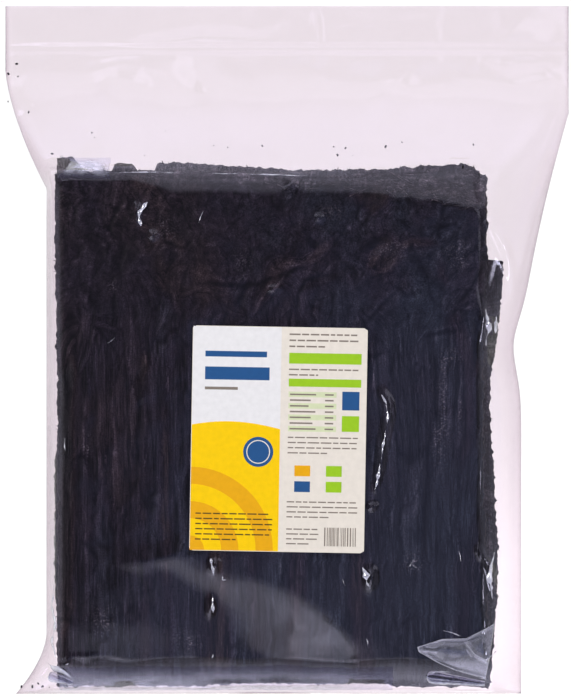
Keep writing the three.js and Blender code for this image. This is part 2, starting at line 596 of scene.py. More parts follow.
def laid_fronds(x, y, crumple):
    """Grids of the stacked fronds' height, tint, shade, grain direction and own frame."""
    warp_x = x + 9.0 * crumple * fractal(x / 34.0, y / 34.0, SEED + 3)
    warp_y = y + 9.0 * crumple * fractal(x / 34.0, y / 34.0, SEED + 5)
    height = np.zeros_like(x)
    tint = np.full_like(x, TINT_PURPLE)
    shade = np.zeros_like(x)
    turn = np.zeros_like(x)
    flow = np.stack([warp_x, warp_y, np.zeros_like(x)], 2)
    for f in face_fronds():
        along = (warp_x - f.x) * math.sin(f.turn) + (warp_y - f.y) * math.cos(f.turn)
        across = (warp_x - f.x) * math.cos(f.turn) - (warp_y - f.y) * math.sin(f.turn)
        near = np.nonzero((np.abs(along) < f.length / 2) & (np.abs(across) < 1.6 * f.half + abs(f.bow) + 4))
        along = along[near]
        across = across[near] - f.bow * (2 * along / f.length) ** 2 - 0.7 * noise(along / 40.0, 1.5, f.seed)
        end = np.clip((f.length / 2 - np.abs(along)) / min(4.0 * f.half, 0.35 * f.length), 0, 1) ** 0.8
        ragged = 1 + 0.22 * noise(along / 17.0, 4.5, f.seed) + 0.1 * noise(along / 5.0, 9.5, f.seed)
        half = f.half * end * ragged
        depth = half - np.abs(across)
        cover = ramp(depth, 0.0, 1.1)
        # One long side of a frond lies tight on the one below, and the other stands up and throws a shadow
        tight = 0.5 + 0.5 * np.sign(across) * (1 if f.seed % 2 else -1)
        rolled = 0.2 * peak(depth - 1.4, 1.1) - 0.4 * peak(depth + 0.8, 0.8)
        height[near] = mix(height[near], 0.5 * height[near] + f.thick, cover) + rolled * tight * f.thick / 0.4
        tint[near] = mix(tint[near], f.tint, cover)
        shade[near] = mix(shade[near], float(lattice(np.array(f.seed), np.array(3), SEED)), cover)
        bowed = f.turn + 4 * f.bow * 2 * along / f.length**2
        on_top = cover > 0.5
        turn[near] = np.where(on_top, bowed, turn[near])
        own = np.stack([across, along, np.full_like(along, 7.3 * f.seed)], 1)
        flow[near] = np.where(on_top[:, None], own, flow[near])
    return height, tint, shade, turn, flow


def relief_places():
    """Grids of the places that the relief of the face sheet is worked out at, and their spacing."""
    step = sizes().relief_step / MM
    across, along = (np.arange(low, high, step) for low, high in zip(RELIEF_LOW, RELIEF_HIGH))
    return *np.meshgrid(across, along), step


def on_relief(grid, x, y):
    """A relief grid's values at places on the face."""
    return sampled(grid, RELIEF_LOW, sizes().relief_step / MM, x, y)


def sink_hollows(height, x, y):
    """Lowers a relief where the fronds leave a gap."""
    for hx, hy, half_x, half_y, angle, depth in FACE_HOLLOWS:
        angle = math.radians(angle)
        across = ((x - hx) * math.cos(angle) - (y - hy) * math.sin(angle)) / half_x
        along = ((x - hx) * math.sin(angle) + (y - hy) * math.cos(angle)) / half_y
        height -= depth * np.exp(-((across**2 + along**2) ** 1.5))


def long_creases(x, y):
    """How deep in the groove of a long crease places lie, and how high on the lip beside one."""
    groove = np.zeros_like(x)
    lip = np.zeros_like(x)
    for line, half in FACE_CREASES:
        away, share = along_line(x, y, line)
        fade = np.sin(math.pi * np.clip(share, 0.0, 1.0)) ** 0.5
        groove = np.maximum(groove, fade * peak(away, half))
        lip = np.maximum(lip, fade * peak(away - 3.0 * half, 1.5 * half))
    return groove, lip


def drifting_hue(x, y, tint):
    """Tints that drift from warm at the top left to slate at the bottom right: brown fronds keep theirs."""
    # The drift to the lighter slate at the bottom right is partly the fronds' colour, partly painted light
    # from that side
    warm = TINT_PURPLE + 0.26 * ramp(noise(x / 48.0, y / 75.0, SEED + 34), -0.3, 0.4)
    zone = 0.36 + 0.45 * x / 160.0 - 0.25 * y / 130.0 + 0.35 * noise(x / 45.0, y / 60.0, SEED + 33)
    zone = np.clip(zone, 0, 1)
    own = mix(0.35, 1.0, ramp(tint, 0.45, 0.7) * (1.0 - zone))
    return mix(mix(warm, TINT_SLATE, zone), tint, own)


@lru_cache(maxsize=1)
def face_relief():
    """Grids over the face sheet of its relief in millimetres, tint, grain, fronds' frames and crumpling."""
    x, y, step = relief_places()
    crumple = ramp(y + 22.0 * noise(x / 60.0, y / 60.0, SEED + 1), -20, 75)
    height, tint, shade, turn, flow = laid_fronds(x, y, crumple)
    height = height - 0.9 * blurred(height, 14.0 / step)
    turn = turn + mix(0.03, 1.0, crumple) * fractal(x / 55.0, y / 60.0, SEED + 6, 2)
    draw = np.random.default_rng(SEED + 8)
    fine = drawn_along(draw.normal(0, 1, x.shape), turn, 15)
    coarse = drawn_along(blurred(draw.normal(0, 1, x.shape), 1.5), turn, 30)
    broad = drawn_along(blurred(draw.normal(0, 1, x.shape), 4.0), turn, 50)
    height += 0.03 * broad + 0.06 * coarse + 0.11 * fine
    # Folds of the skin where the fronds were pressed askew
    warp_x = x + 7.0 * fractal(x / 26.0, y / 26.0, SEED + 13)
    warp_y = y + 7.0 * fractal(x / 26.0, y / 26.0, SEED + 15)
    height += crumple * 0.3 * creased(warp_x / 13.0, warp_y / 19.0, SEED + 7, 3)
    # Thin splits along the grain, and thin cracks between neighbouring pieces, both only here and there
    split = peak(broad + 0.15 * coarse, 0.09) * ramp(noise(x / 31.0, y / 47.0, SEED + 23), -0.1, 0.3)
    crack = peak(noise(warp_x / 30.0, warp_y / mix(95.0, 34.0, crumple), SEED + 17), 0.028)
    crack = crack * ramp(noise(x / 33.0, y / 33.0, SEED + 19), -0.1, 0.3)
    height -= 0.5 * split + 0.6 * crack
    sink_hollows(height, x, y)
    groove, lip = long_creases(x + 0.2 * (warp_x - x), y + 0.2 * (warp_y - y))
    height += 0.35 * lip - 0.7 * groove
    reach = sizes().relief_depth / MM
    height = reach * np.tanh(height / reach)
    height = np.where(height > 0.6, 0.6 + 0.55 * (height - 0.6), height)
    left = bell(x, y, -114.0, -30.0, 50.0, 60.0)
    rough = np.clip(ramp(noise(x / 24.0, y / 40.0, SEED + 29), -0.2, 0.5) + 0.6 * left, 0.0, 1.2)
    grain = 0.47 + 0.1 * shade + mix(0.04, 0.13, rough) * fine + 0.02 * coarse + 0.2 * ramp(fine, 1.5, 2.6)
    # Runs of fronds a centimetre wide are a little lighter or darker in the lower part of the face
    grain += 0.28 * ramp(y, -150.0, -80.0) * noise(x / 13.0, y / mix(60.0, 26.0, crumple), SEED + 35)
    # Painted shade darkens the fronds at the top left, where they lie deeper
    grain = grain - 0.2 * bell(x, y, -116.0, 68.0, 46.0, 40.0)
    # Painted shade darkens splits, cracks and creases, and a painted highlight lightens the lips beside
    # creases
    grain = np.clip(grain - 0.4 * split - 0.4 * crack + 0.1 * lip - 0.4 * groove, 0.0, 1.0)
    tint = drifting_hue(x, y, blurred(tint, 2.6 / step)) + 0.03 * broad
    return height, tint, grain, flow, crumple


def cover_edge(x):
    """Where the upper torn edge of the topmost layer runs across the face."""
    pairs = ((-165, 121), (-60, 119), (2, 114.5), (40, 114.5), (79, 109.5), (107, 106), (140, 98))
    return np.interp(x, *zip(*pairs)) + torn(x, 51, 2.2)


# The film and the sheet under it sag in a long fold below the label: its crisp upper edge, and the lower edge
# of the narrow part to the left, as (x, y) pairs, and how steeply the face falls there
SAG_UPPER = ((-98, -146), (-5, -168), (8, -173.5), (27, -187), (41, -204), (56, -224))
SAG_LOWER = ((-98, -147), (-62, -165), (-42, -177), (-20, -185), (56, -226))
SAG_SLOPE = 0.08
# The face sheet falls no lower than this under the film
DROP_LIMIT = 11.5


@lru_cache(maxsize=1)
def sag_grid():
    """How far the face sags at each place of the relief grid: its slope summed from the top down."""
    x, y, step = relief_places()
    nowhere = -400.0
    upper = np.interp(x, *zip(*SAG_UPPER), left=nowhere, right=nowhere)
    lower = np.interp(x, *zip(*SAG_LOWER), left=nowhere, right=nowhere)
    band = np.maximum(ramp(y - lower, -8.0, 5.0) * ramp(x, -98.0, -72.0), ramp(x, -64.0, -4.0))
    inside = band * ramp(upper - y, -0.8, 0.8) * (upper > nowhere) * ramp(y, -220.0, -208.0)
    return blurred(np.cumsum((SAG_SLOPE * step * inside)[::-1], 0)[::-1], 3.0)


def sag(x, y):
    """How far the face sags at places on it."""
    return on_relief(sag_grid(), x, y)


def face_drop(x, y):
    """How far the face sheet falls away towards its edges, where it rounds over the sheets below."""
    wander = 4.0 * noise(x / 33.0, y / 33.0, SEED + 31)
    drop = FACE_HEIGHT - bottom_round(y + 0.6 * wander) + sag(x, y) + 0.5 * ramp(-y, 190.0, 222.0)
    drop = drop + 2.4 * (1.0 - quarter_round(x - FRONT.edge("left", y), 8.0 + 0.5 * wander))
    drop = drop + 1.6 * (1.0 - quarter_round(FRONT.edge("right", y) - x, 6.0 + wander))
    high = np.maximum(FRONT.edge("top", x) - y, 0.0)
    reach = np.interp(x, (-150, -115, -80, 60, 80, 107, 130), (2.0, 2.5, 20.0, 20.0, 22.0, 24.0, 26.0))
    bend = mix(3.0, 1.5, ramp(x, 60.0, 115.0))
    drop = drop + 0.25 * reach * (1.0 - np.clip(high / reach, 0.0, 1.0)) ** bend
    soft = mix(5.0, 0.6, ramp(x, 30.0, 90.0))
    step = mix(0.1, 0.7, ramp(x, 10.0, 80.0))
    return np.minimum(drop + step * ramp(y - cover_edge(x), -soft, soft), DROP_LIMIT)


def face_top(x, y):
    """Height of the top of the face sheet."""
    return FACE_SHEET_TOP + on_relief(face_relief()[0], x, y) - face_drop(x, y)


def face_sheet():
    """The sheet that shows through the front film, with every frond and crease in its mesh."""
    height, tint, grain, flow, crumple = face_relief()
    step = sizes().relief_step / MM
    # Only the outermost points of the grid follow the torn edge
    edge_power = 40.0
    columns = int((FRONT.right[-1][1] - FRONT.left[-1][1]) / step)
    rows = int((FRONT.top[1][1] - FRONT.bottom[0][1]) / step)
    s, t = unit_grid(columns, rows)
    y = mix(FRONT.bottom[0][1], FRONT.top[3][1], t)
    x = mix(FRONT.edge("left", y), FRONT.edge("right", y), s)
    y = mix(FRONT.edge("bottom", x), FRONT.edge("top", x), t)
    x = x - torn(y, 61, 1.0) * (1 - s) ** edge_power + torn(y, 71, 1.4) * s**edge_power
    y = y - torn(x, 81, 1.2) * (1 - t) ** edge_power + torn(x, 91, 1.3) * t**edge_power
    top = np.stack([x, y, face_top(x, y)], 2).reshape(-1, 3)
    rim = rim_loop(rows, columns)
    middle = top[:, :2].mean(0)
    outward = top[rim][:, :2] - middle
    outward /= np.linalg.norm(outward, axis=1)[:, None]
    waist = top[rim] + np.column_stack([0.5 * outward, np.full(len(rim), -1.3)])
    foot = np.column_stack([top[rim][:, :2] - 0.4 * outward, top[rim][:, 2] - FACE_SHEET_THICK])
    centre = np.array([[middle[0], middle[1], FACE_SHEET_TOP - FACE_SHEET_THICK]])
    points = np.concatenate([top, waist, foot, centre])
    waist_loop = len(top) + np.arange(len(rim))
    foot_loop = waist_loop + len(rim)
    faces = grid_faces(rows, columns) + ring_faces(waist_loop, rim) + ring_faces(foot_loop, waist_loop)
    faces += fan_faces(foot_loop[::-1], len(points) - 1)
    x, y = points[:, 0], points[:, 1]
    standing = height - blurred(height, 4.5 / step)
    grids = {"tint": tint, "ridge": standing, "grain": grain}
    looks = {key: on_relief(grid, x, y) for key, grid in grids.items()}
    column = np.clip(np.rint((x - RELIEF_LOW[0]) / step).astype(int), 0, height.shape[1] - 1)
    row = np.clip(np.rint((y - RELIEF_LOW[1]) / step).astype(int), 0, height.shape[0] - 1)
    looks["flow"] = flow[row, column]
    looks["leafy"] = crumple[row, column]
    # Pale fibres lie along the torn edge above the topmost layer
    upper = ramp(y - cover_edge(x), -1.0, 3.0) * ramp(x, -110.0, -80.0)
    looks["pale"] = upper * mix(0.12, 0.5, ramp(noise(x / 11.0, y / 1.8, SEED + 36), 0.0, 0.5))
    looks["salt"] = 1.7 * sum(bell(x, y, *patch) for patch in SALT_PATCHES)
    return piece("wakame_face_sheet", points, faces, [wakame_material()], looks)


# Rings of points round each hidden sheet, from its base to its top: how far in from the rim, and the height
# as a share of the sheet's thickness
SHEET_RINGS = (
    (40, 0.02), (5, 0.02), (0.7, 0.08), (0, 0.3), (0.3, 0.55),
    (0, 0.78), (0.8, 0.95), (5, 1.0), (14, 1.0), (40, 1.0),
)
# Each sheet fills this share of its place in the stack
SHEET_FILLS = 0.96


def bundle_sheets(bundle, seed):
    """The pressed sheets of one bundle as closed slabs with torn rims, one mesh."""
    spacing = sizes().rim_spacing / MM
    thick = (bundle.high - bundle.low) / bundle.count
    parts = []
    tints = []
    for k in range(bundle.count):
        floor = bundle.low + k * thick
        loop = outline(bundle, seed + 100 * k, 1.3, spacing)
        middle = loop.mean(0)
        count = len(loop)
        spin = np.arange(count)
        rings = []
        for inset, share in SHEET_RINGS:
            size = np.abs(loop - middle).max(0)
            ragged = 0.9 * noise(spin / 2.4, share * 9.0 + k * 3.7, seed + 5) * (0.02 < share < 0.97)
            flat = middle + (loop - middle) * (1.0 - (inset - ragged[:, None]) / size)
            wave = 0.35 * noise(flat[:, 0] / 14.0, flat[:, 1] / 40.0, seed + k)
            rings.append(np.column_stack([flat, floor + thick * share * SHEET_FILLS + wave * share]))
        loops = [count * n + spin for n in range(len(rings))]
        faces = [face for lower, upper in zip(loops, loops[1:]) for face in ring_faces(lower, upper)]
        below = count * len(rings)
        faces += fan_faces(loops[0][::-1], below) + fan_faces(loops[-1], below + 1)
        centres = np.array([[*middle, floor], [*middle, floor + SHEET_FILLS * thick]])
        made = np.concatenate([*rings, centres])
        if bundle is FRONT:
            pinched = 1.0 - face_drop(made[:, 0], made[:, 1]) / (bundle.high - bundle.low)
            made[:, 2] = mix(bundle.low, made[:, 2], np.clip(pinched, 0.06, 1.0))
        parts.append((made, faces))
        patch = lattice(np.floor(made[:, 0] / 23.0), np.floor(made[:, 1] / 60.0) + k, seed)
        tints.append(0.4 + 0.3 * patch + 0.2 * noise(made[:, 0] / 9.0, made[:, 1] / 9.0, seed + k))
    points, faces = joined(parts)
    x, y, z = np.array(points).T
    looks = {"tint": np.concatenate(tints), "flow": np.array(points) * (1.0, 1.0, 2.0)}
    looks["ridge"] = 0.3 * noise(x / 3.0, y / 3.0 + z, seed + 3)
    looks["grain"] = 0.5 + 0.5 * noise(x / 2.6, y / 2.6 + 2 * z, seed + 4)
    looks["salt"] = np.full(len(points), 0.6)
    looks["pale"] = 0.3 * ramp(noise(x / 1.8, y / 16.0, seed + 6), 0.05, 0.6)
    # Painted reflection: the rear sheets are paler where they show over the top edge of the others, for the
    # light the film there reflects
    if bundle is REAR:
        looks["pale"] += 0.35 * ramp(y, 117.0, 122.0)
    return piece(bundle.name, points, faces, [wakame_material()], looks)


def fray_places(draw, count):
    """Where torn strands start on the rims of the bundles, and which way each one points."""
    for _ in range(count):
        bundle = (REAR, MIDDLE, FRONT)[draw.integers(3)]
        loop = outline(bundle, 7, 1.0, 4.0)
        k = draw.integers(len(loop))
        ahead = loop[(k + 1) % len(loop)] - loop[k - 1]
        out = np.array([ahead[1], -ahead[0]])
        out = out / max(np.linalg.norm(out), 1e-6)
        height = draw.uniform(bundle.low + 1.0, bundle.high - 0.5)
        along_fronds = np.array([0.0, 1.0 if loop[k][1] > -40 else -1.0])
        if loop[k][1] < FACE_FROM:
            continue
        heading = out * draw.uniform(0.3, 0.9) + along_fronds * draw.uniform(0.0, 0.9)
        heading = heading + draw.normal(0, 0.3, 2)
        heading = np.array([*(heading / np.linalg.norm(heading)), draw.normal(0, 0.08)])
        yield np.array([*loop[k], height]), heading, draw.uniform(2.0, 5.5), draw.uniform(0.8, 2.2), 0.0


def edge_strands(draw, count):
    """Pale strands that lie across the upper edge of the topmost layer, most of them to the right."""
    for _ in range(count):
        x = 136.0 - draw.exponential(80.0)
        y = float(cover_edge(np.array(x))) + draw.uniform(-3.0, 13.0)
        length = draw.uniform(5.0, 16.0)
        heading = np.array([1.0, draw.normal(-0.08, 0.28), 0.0])
        if FRONT.covers(x, y, -3.0):
            base = np.array([x, y, float(face_top(np.array(x), np.array(y))) + 0.2])
            yield base, heading, length, draw.uniform(0.35, 0.7), draw.uniform(0.08, 0.45)


def frays():
    """Torn strands round the rims and pale ones along the upper edge, each a closed flat tapered ribbon."""
    draw = np.random.default_rng(SEED + 2)
    stations = np.linspace(0, 1, 7)
    points = []
    faces = []
    tints = []
    pales = []
    strands = [*fray_places(draw, sizes().fray_count), *edge_strands(draw, sizes().strand_count)]
    for base, heading, length, width, pale in strands:
        side = np.array([-heading[1], heading[0], 0.0])
        bend = draw.normal(0, 2.2 if pale else 0.8)
        first = len(points)
        for t in stations:
            middle = base + heading * length * (t - 0.55) + side * bend * t * t
            if pale:
                middle[2] = float(face_top(middle[0:1], middle[1:2])[0]) + 0.2
            half = side * width * 0.5 * (1.05 - t)
            lift = np.array([0, 0, 0.16])
            points += [middle - half, middle - lift, middle + half, middle + lift]
        for n in range(len(stations) - 1):
            lower = first + 4 * n + np.arange(4)
            faces += ring_faces(lower, lower + 4)
        last = first + 4 * (len(stations) - 1)
        faces += [[first + 3, first + 2, first + 1, first], [last, last + 1, last + 2, last + 3]]
        tints += [draw.choice([TINT_PURPLE, TINT_BROWN, TINT_OLIVE])] * (4 * len(stations))
        pales += [pale] * (4 * len(stations))
    looks = {"tint": tints, "flow": points, "pale": pales}
    looks["ridge"] = [0.3] * len(points)
    looks["grain"] = [0.6] * len(points)
    return piece("wakame_frays", points, faces, [wakame_material()], looks)


# Crumbs that lie apart in the header and in the bottom seal, as places on the back film
HEADER_CRUMBS = (
    (-192.5, 203), (-198.5, 196), (-191.5, 194), (-198.5, 176), (-184, 168.5), (-139, 154),
    (-167, 139), (33, 144), (41.5, 143), (70, 144), (36, 138),
)
SEAL_CRUMBS = ((-188, -239), (-177, -238), (-174, -240), (-169, -240.5), (-181, -240))


def crumbs():
    """Loose crumbs of wakame on the back film, each a small lumpy flake."""
    draw = np.random.default_rng(SEED + 4)
    # A solid with twelve corners and twenty equal sides is the start of each flake
    golden = (1 + 5**0.5) / 2
    ball = np.array([(a, b, 0) for a in (-1, 1) for b in (-golden, golden)], float)
    ball = np.concatenate([ball, ball[:, [2, 0, 1]], ball[:, [1, 2, 0]]]) / golden
    sides = np.linalg.norm(ball[:, None] - ball[None], axis=2)
    edge = sides[sides > 1e-6].min() * 1.01
    triangles = []
    for a, b, c in combinations(range(len(ball)), 3):
        if max(sides[a, b], sides[b, c], sides[a, c]) < edge:
            turned = np.dot(np.cross(ball[b] - ball[a], ball[c] - ball[a]), ball[a]) < 0
            triangles.append([a, c, b] if turned else [a, b, c])
    places = [(x, y, draw.uniform(0.5, 1.0)) for x, y in HEADER_CRUMBS]
    places += [(x, y, draw.uniform(0.5, 0.9)) for x, y in SEAL_CRUMBS]
    while len(places) < sizes().crumb_count:
        x = draw.uniform(-165, 150)
        y = 137 + draw.exponential(9.0)
        places.append((x, y, draw.uniform(0.25, 0.7)))
    points = []
    faces = []
    for x, y, size in places:
        turn = draw.uniform(0, math.pi)
        flake = ball * draw.uniform(0.6, 1.2, (len(ball), 1)) * np.array([1.3, 0.8, 0.45]) * size
        cos = math.cos(turn)
        sin = math.sin(turn)
        spun = flake @ np.array([[cos, sin, 0], [-sin, cos, 0], [0, 0, 1]])
        faces += (np.array(triangles) + len(points)).tolist()
        floor = film_back(np.array(x), np.array(y)) + 0.15
        points += (spun + np.array([x, y, floor - spun[:, 2].min()])).tolist()
    looks = {key: [value] * len(points) for key, value in (("tint", 0.5), ("ridge", 0.0), ("grain", 0.4))}
    looks["flow"] = points
    return piece("wakame_crumbs", points, faces, [wakame_material()], looks)


# The film


def rim_height(body, y):
    """Height of the film's side fold, from the bottom seal past the sheets to the header."""
    lower = mix(SEAL_RIM, body, ramp(y, BOTTOM, BOTTOM + 40.0))
    return mix(lower, HEADER_RIM, ramp(y, FACE_TO - 30.0, HEADER_FLAT + 10.0))


def quarter_round(distance, reach):
    """0 at an edge with an upright start, 1 and level once the reach is passed."""
    return np.sqrt(1.0 - (1.0 - np.clip(distance / reach, 0.0, 1.0)) ** 2)


def bottom_round(y):
    """Height of the face film where it rounds down from the sheets to the bottom seal."""
    start = BOTTOM + SEAL_STRIP
    rounded = mix(SEAL_RIM, FACE_HEIGHT, quarter_round(y - start, FACE_FROM - start))
    return np.minimum(rounded + BOTTOM_KINK, FACE_HEIGHT)


def header_start(x):
    """Where the front film comes down on the back film above the sheets: wavy, and higher at both sides."""
    return 176.0 + 14.0 * noise(x / 70.0, 0.5, SEED + 25) + 14.0 * ramp(np.abs(x), 110.0, 190.0)


def slack_film(x, y):
    """The front film's height before it is drawn down on the sheets."""
    from_left = x - left_edge(y)
    from_right = right_edge(y) - x
    rim = mix(rim_height(LEFT_RIM, y), rim_height(RIGHT_RIM, y), from_left / (from_left + from_right))
    soft = ramp(y, FACE_TO - 50.0, HEADER_FROM - 30.0)
    across = quarter_round(from_left, mix(LEFT_ROUND, HEADER_ROUND, soft))
    across = across * quarter_round(from_right, mix(RIGHT_ROUND, HEADER_ROUND, soft))
    spine = mix(bottom_round(y), HEADER_THICK, ramp(y, FACE_TO, HEADER_FLAT))
    return mix(rim, np.maximum(spine, rim), across)


def stack_top(x, y):
    """Height of the sheets under each place, or 0 beside them."""
    top = np.where(REAR.covers(x, y, 1.6), REAR.high, 0.0)
    top = np.where(MIDDLE.covers(x, y, 1.6), np.maximum(top, MIDDLE.high), top)
    return np.where(FRONT.covers(x, y, 1.6), np.maximum(top, face_top(x, y)), top)


def facets(x, y, seed, spacing):
    """Flat facets that meet in creases, as stiff film has, by straight lines between scattered heights."""
    draw = np.random.default_rng(seed)
    places = []
    for row in np.arange(BOTTOM - 40, TOP + 41, spacing * 0.9):
        for column in np.arange(-240, 241, spacing):
            across = column + draw.normal(0, 0.3) * spacing
            along = row + draw.normal(0, 0.3) * spacing
            places.append(Vector((across, along)))
    points, _, triangles, *_ = delaunay_2d_cdt(places, [], [], 0, 1e-5)
    heights = draw.uniform(-1, 1, len(points))
    tree = BVHTree.FromPolygons([(p.x, p.y, h) for p, h in zip(points, heights)], triangles)
    down = Vector((0, 0, -1))
    found = [tree.ray_cast(Vector((a, b, 5.0)), down)[0] for a, b in zip(x.ravel(), y.ravel())]
    return np.array([p.z if p else 0.0 for p in found]).reshape(x.shape)


def along_line(x, y, line):
    """How far places lie from a line of points, and how far along it their nearest point is, from 0 to 1."""
    best = np.full(x.shape, np.inf)
    share = np.zeros(x.shape)
    line = np.array(line, float)
    lengths = np.linalg.norm(np.diff(line, axis=0), axis=1)
    total = lengths.sum()
    done = 0.0
    for a, b, length in zip(line, line[1:], lengths):
        t = np.clip(((x - a[0]) * (b[0] - a[0]) + (y - a[1]) * (b[1] - a[1])) / length**2, 0, 1)
        away = np.hypot(x - mix(a[0], b[0], t), y - mix(a[1], b[1], t))
        closer = away < best
        best = np.where(closer, away, best)
        share = np.where(closer, (done + t * length) / total, share)
        done += length
    return best, share


# Creases of the film: the line each follows, its half width and its height
FILM_CREASES = (
    (((67, -30), (71, -37), (72, -46), (68, -63), (65, -84), (62, -98)), 2.4, 1.3),
    (((143, 88), (150, 76), (156, 60), (158, 44)), 3.5, 4.0),
    (((160, 40), (170, 78), (178, 104), (186, 124)), 4.5, 4.5),
    (((142, 118), (160, 136), (184, 168)), 6.0, 2.5),
    (((-164, 118), (-174, 134), (-184, 158)), 5.0, 3.0),
    (((-150, 130), (-132, 160), (-120, 196)), 8.0, 2.0),
    (((-142, 205), (-100, 216), (-62, 222), (-20, 221)), 5.0, 1.5),
    (((20, 242), (21, 222), (22, 205)), 3.0, 1.0),
    (((135, 202), (160, 193), (186, 198)), 5.0, 1.3),
    (((60, 132), (66, 160), (84, 190)), 9.0, 2.0),
    (((-40, 134), (-46, 170), (-66, 200)), 10.0, 2.0),
    (((-166, -168), (-163, -186), (-166, -200), (-161, -216)), 1.3, 1.6),
    (((-170, -196), (-172, -216), (-178, -236)), 3.0, 2.5),
    (((139, 24), (143, 18), (146, 12)), 2.0, 2.0),
    (((134, -140), (142, -152), (146, -172)), 2.4, 2.2),
    (((-60, -140), (-100, -148), (-124, -146)), 7.0, 0.5),
)

# Small pinched spots where the film stands off the fronds: place, half sizes and height
FILM_PINCHES = (
    (-160, -221, 7.0, 4.0, 3.5),
    (-139, -222, 10.0, 5.0, 1.2),
    (-50, -151, 3.0, 4.5, 1.3),
    (-53, -180, 2.2, 6.0, 1.1),
    (59, -160, 3.4, 6.5, 1.5),
    (-105, 96, 2.0, 6.0, 0.9),
    (-94, 80, 2.4, 2.4, 0.9),
    (4, 119, 6.0, 6.0, 1.6),
    (137, 20, 2.0, 14.0, 1.2),
    (60, -110, 3.0, 2.2, 1.0),
    (-10, 42, 4.0, 1.4, 0.7),
    (22, 92, 2.4, 2.0, 0.8),
)
# How often the film is pulled tight between the places that hold it, and its gap over the sheets
TIGHTENING = 260
SHEET_GAP = 0.3


def pulled_tight(x, y, z, floor, held):
    """The film's heights once it is pulled tight between the places that hold it, over the sheets below."""
    gap_x = np.diff(x, axis=1)
    gap_y = np.diff(y, axis=0)
    left, right = 1 / gap_x[1:-1, :-1], 1 / gap_x[1:-1, 1:]
    low, high = 1 / gap_y[:-1, 1:-1], 1 / gap_y[1:, 1:-1]
    across = 2 / (1 / left + 1 / right)
    along = 2 / (1 / low + 1 / high)
    for _ in range(TIGHTENING):
        pulled = across * (z[1:-1, :-2] * left + z[1:-1, 2:] * right)
        pulled += along * (z[:-2, 1:-1] * low + z[2:, 1:-1] * high)
        pulled /= across * (left + right) + along * (low + high)
        inner = np.maximum(pulled, floor[1:-1, 1:-1])
        z[1:-1, 1:-1] = np.where(held[1:-1, 1:-1], z[1:-1, 1:-1], inner)
    return z


def film_creases(x, y, header, from_rim):
    """How far facets, creases and pinches lift the film, most of all in the header."""
    spacing = sizes().film_facet / MM
    crease = facets(x, y, SEED + 20, spacing) * mix(0.12, 0.8, header)
    crease += facets(x, y, SEED + 21, spacing * 0.45) * mix(0.06, 0.25, header)
    crease += 1.1 * header * noise(x / 95.0, y / 38.0, SEED + 22)
    crease *= mix(1.0, 0.8, ramp(y, HEADER_FROM - 4, HEADER_FROM + 6))
    crease *= ramp(from_rim, 1.0, 14.0) * ramp(y, BOTTOM + 3.0, BOTTOM + 16.0)
    near = ramp(from_rim, 0.0, 5.0) * ramp(y, BOTTOM + 2.0, BOTTOM + 8.0)
    for line, half, height in FILM_CREASES:
        away, share = along_line(x, y, line)
        fade = np.sin(math.pi * np.clip(share, 0.04, 0.96)) ** 0.5
        crease += near * height * peak(away, half) * fade
    for *patch, height in FILM_PINCHES:
        crease += near * height * bell(x, y, *patch)
    return crease


def film_face(x, y):
    """Height of the front film: drawn down over the sheets, then creased."""
    dent = sag(x, y)
    floor = stack_top(x, y) + dent + SHEET_GAP
    padded = np.pad(floor, 1, mode="edge")
    floor = np.max([padded[j : j + x.shape[0], i : i + x.shape[1]] for j in range(3) for i in range(3)], 0)
    on_face = FRONT.covers(x, y, -2.5)
    z = np.maximum(np.where(on_face, FACE_HEIGHT - face_drop(x, y) + dent, slack_film(x, y)), floor)
    z = pulled_tight(x, y, z, floor, on_face | (y > header_start(x)) | (y < BOTTOM + 3.0))
    header = ramp(y, FACE_TO, 150.0)
    z = np.maximum(mix(blurred(z, 0.8), blurred(z, 6.0), header), floor - 0.2)
    from_rim = np.minimum(x - left_edge(y), right_edge(y) - x)
    z = z + film_creases(x, y, header, from_rim)
    # The weld is a flat band six millimetres wide with crimps two millimetres apart
    weld = np.exp(-(((y - WELD_Y) / 3.0) ** 6))
    crimp = 0.1 * np.cos((y - WELD_Y) * 2 * math.pi / 2.0)
    z = mix(z, 1.0 + crimp, weld * ramp(from_rim, 0.5, 4.0))
    z = np.maximum(z, floor - 0.15) - dent
    z = mix(z, FACE_HEIGHT, label_cover(x, y))
    return np.maximum(z, 0.8)


def film_back(x, y):
    """Height of the back film: flat on the floor, lifted at its side folds and at the bottom seal."""
    left = (rim_height(LEFT_RIM, y) - 0.5) * (1.0 - quarter_round(x - left_edge(y), LEFT_BACK_ROUND))
    right = (rim_height(RIGHT_RIM, y) - 0.5) * (1.0 - quarter_round(right_edge(y) - x, RIGHT_BACK_ROUND))
    seal = (SEAL_RIM - 0.6) * (1.0 - quarter_round(y - BOTTOM, SEAL_BACK_ROUND))
    return np.maximum.reduce([left, right, seal, np.zeros_like(x)]) + BACK_LIFT


def crowded(share, amount):
    """Grid shares from 0 to 1 drawn together near both ends."""
    return mix(share, (1 - np.cos(math.pi * share)) / 2, amount)


@lru_cache(maxsize=1)
def front_film():
    """Grids of the front film's places across and along, then its row places, column shares and heights."""
    y = mix(BOTTOM, TOP, crowded(np.linspace(0, 1, sizes().film_rows + 1), 0.35))
    shares = crowded(np.linspace(0, 1, sizes().film_columns + 1), 0.6)
    x = mix(left_edge(y[:, None]), right_edge(y[:, None]), shares[None, :])
    y_front = np.broadcast_to(y[:, None], x.shape)
    z = film_face(x, y_front)
    z[:, 0] = rim_height(LEFT_RIM, y)
    z[:, -1] = rim_height(RIGHT_RIM, y)
    return x, y_front, y, shares, z


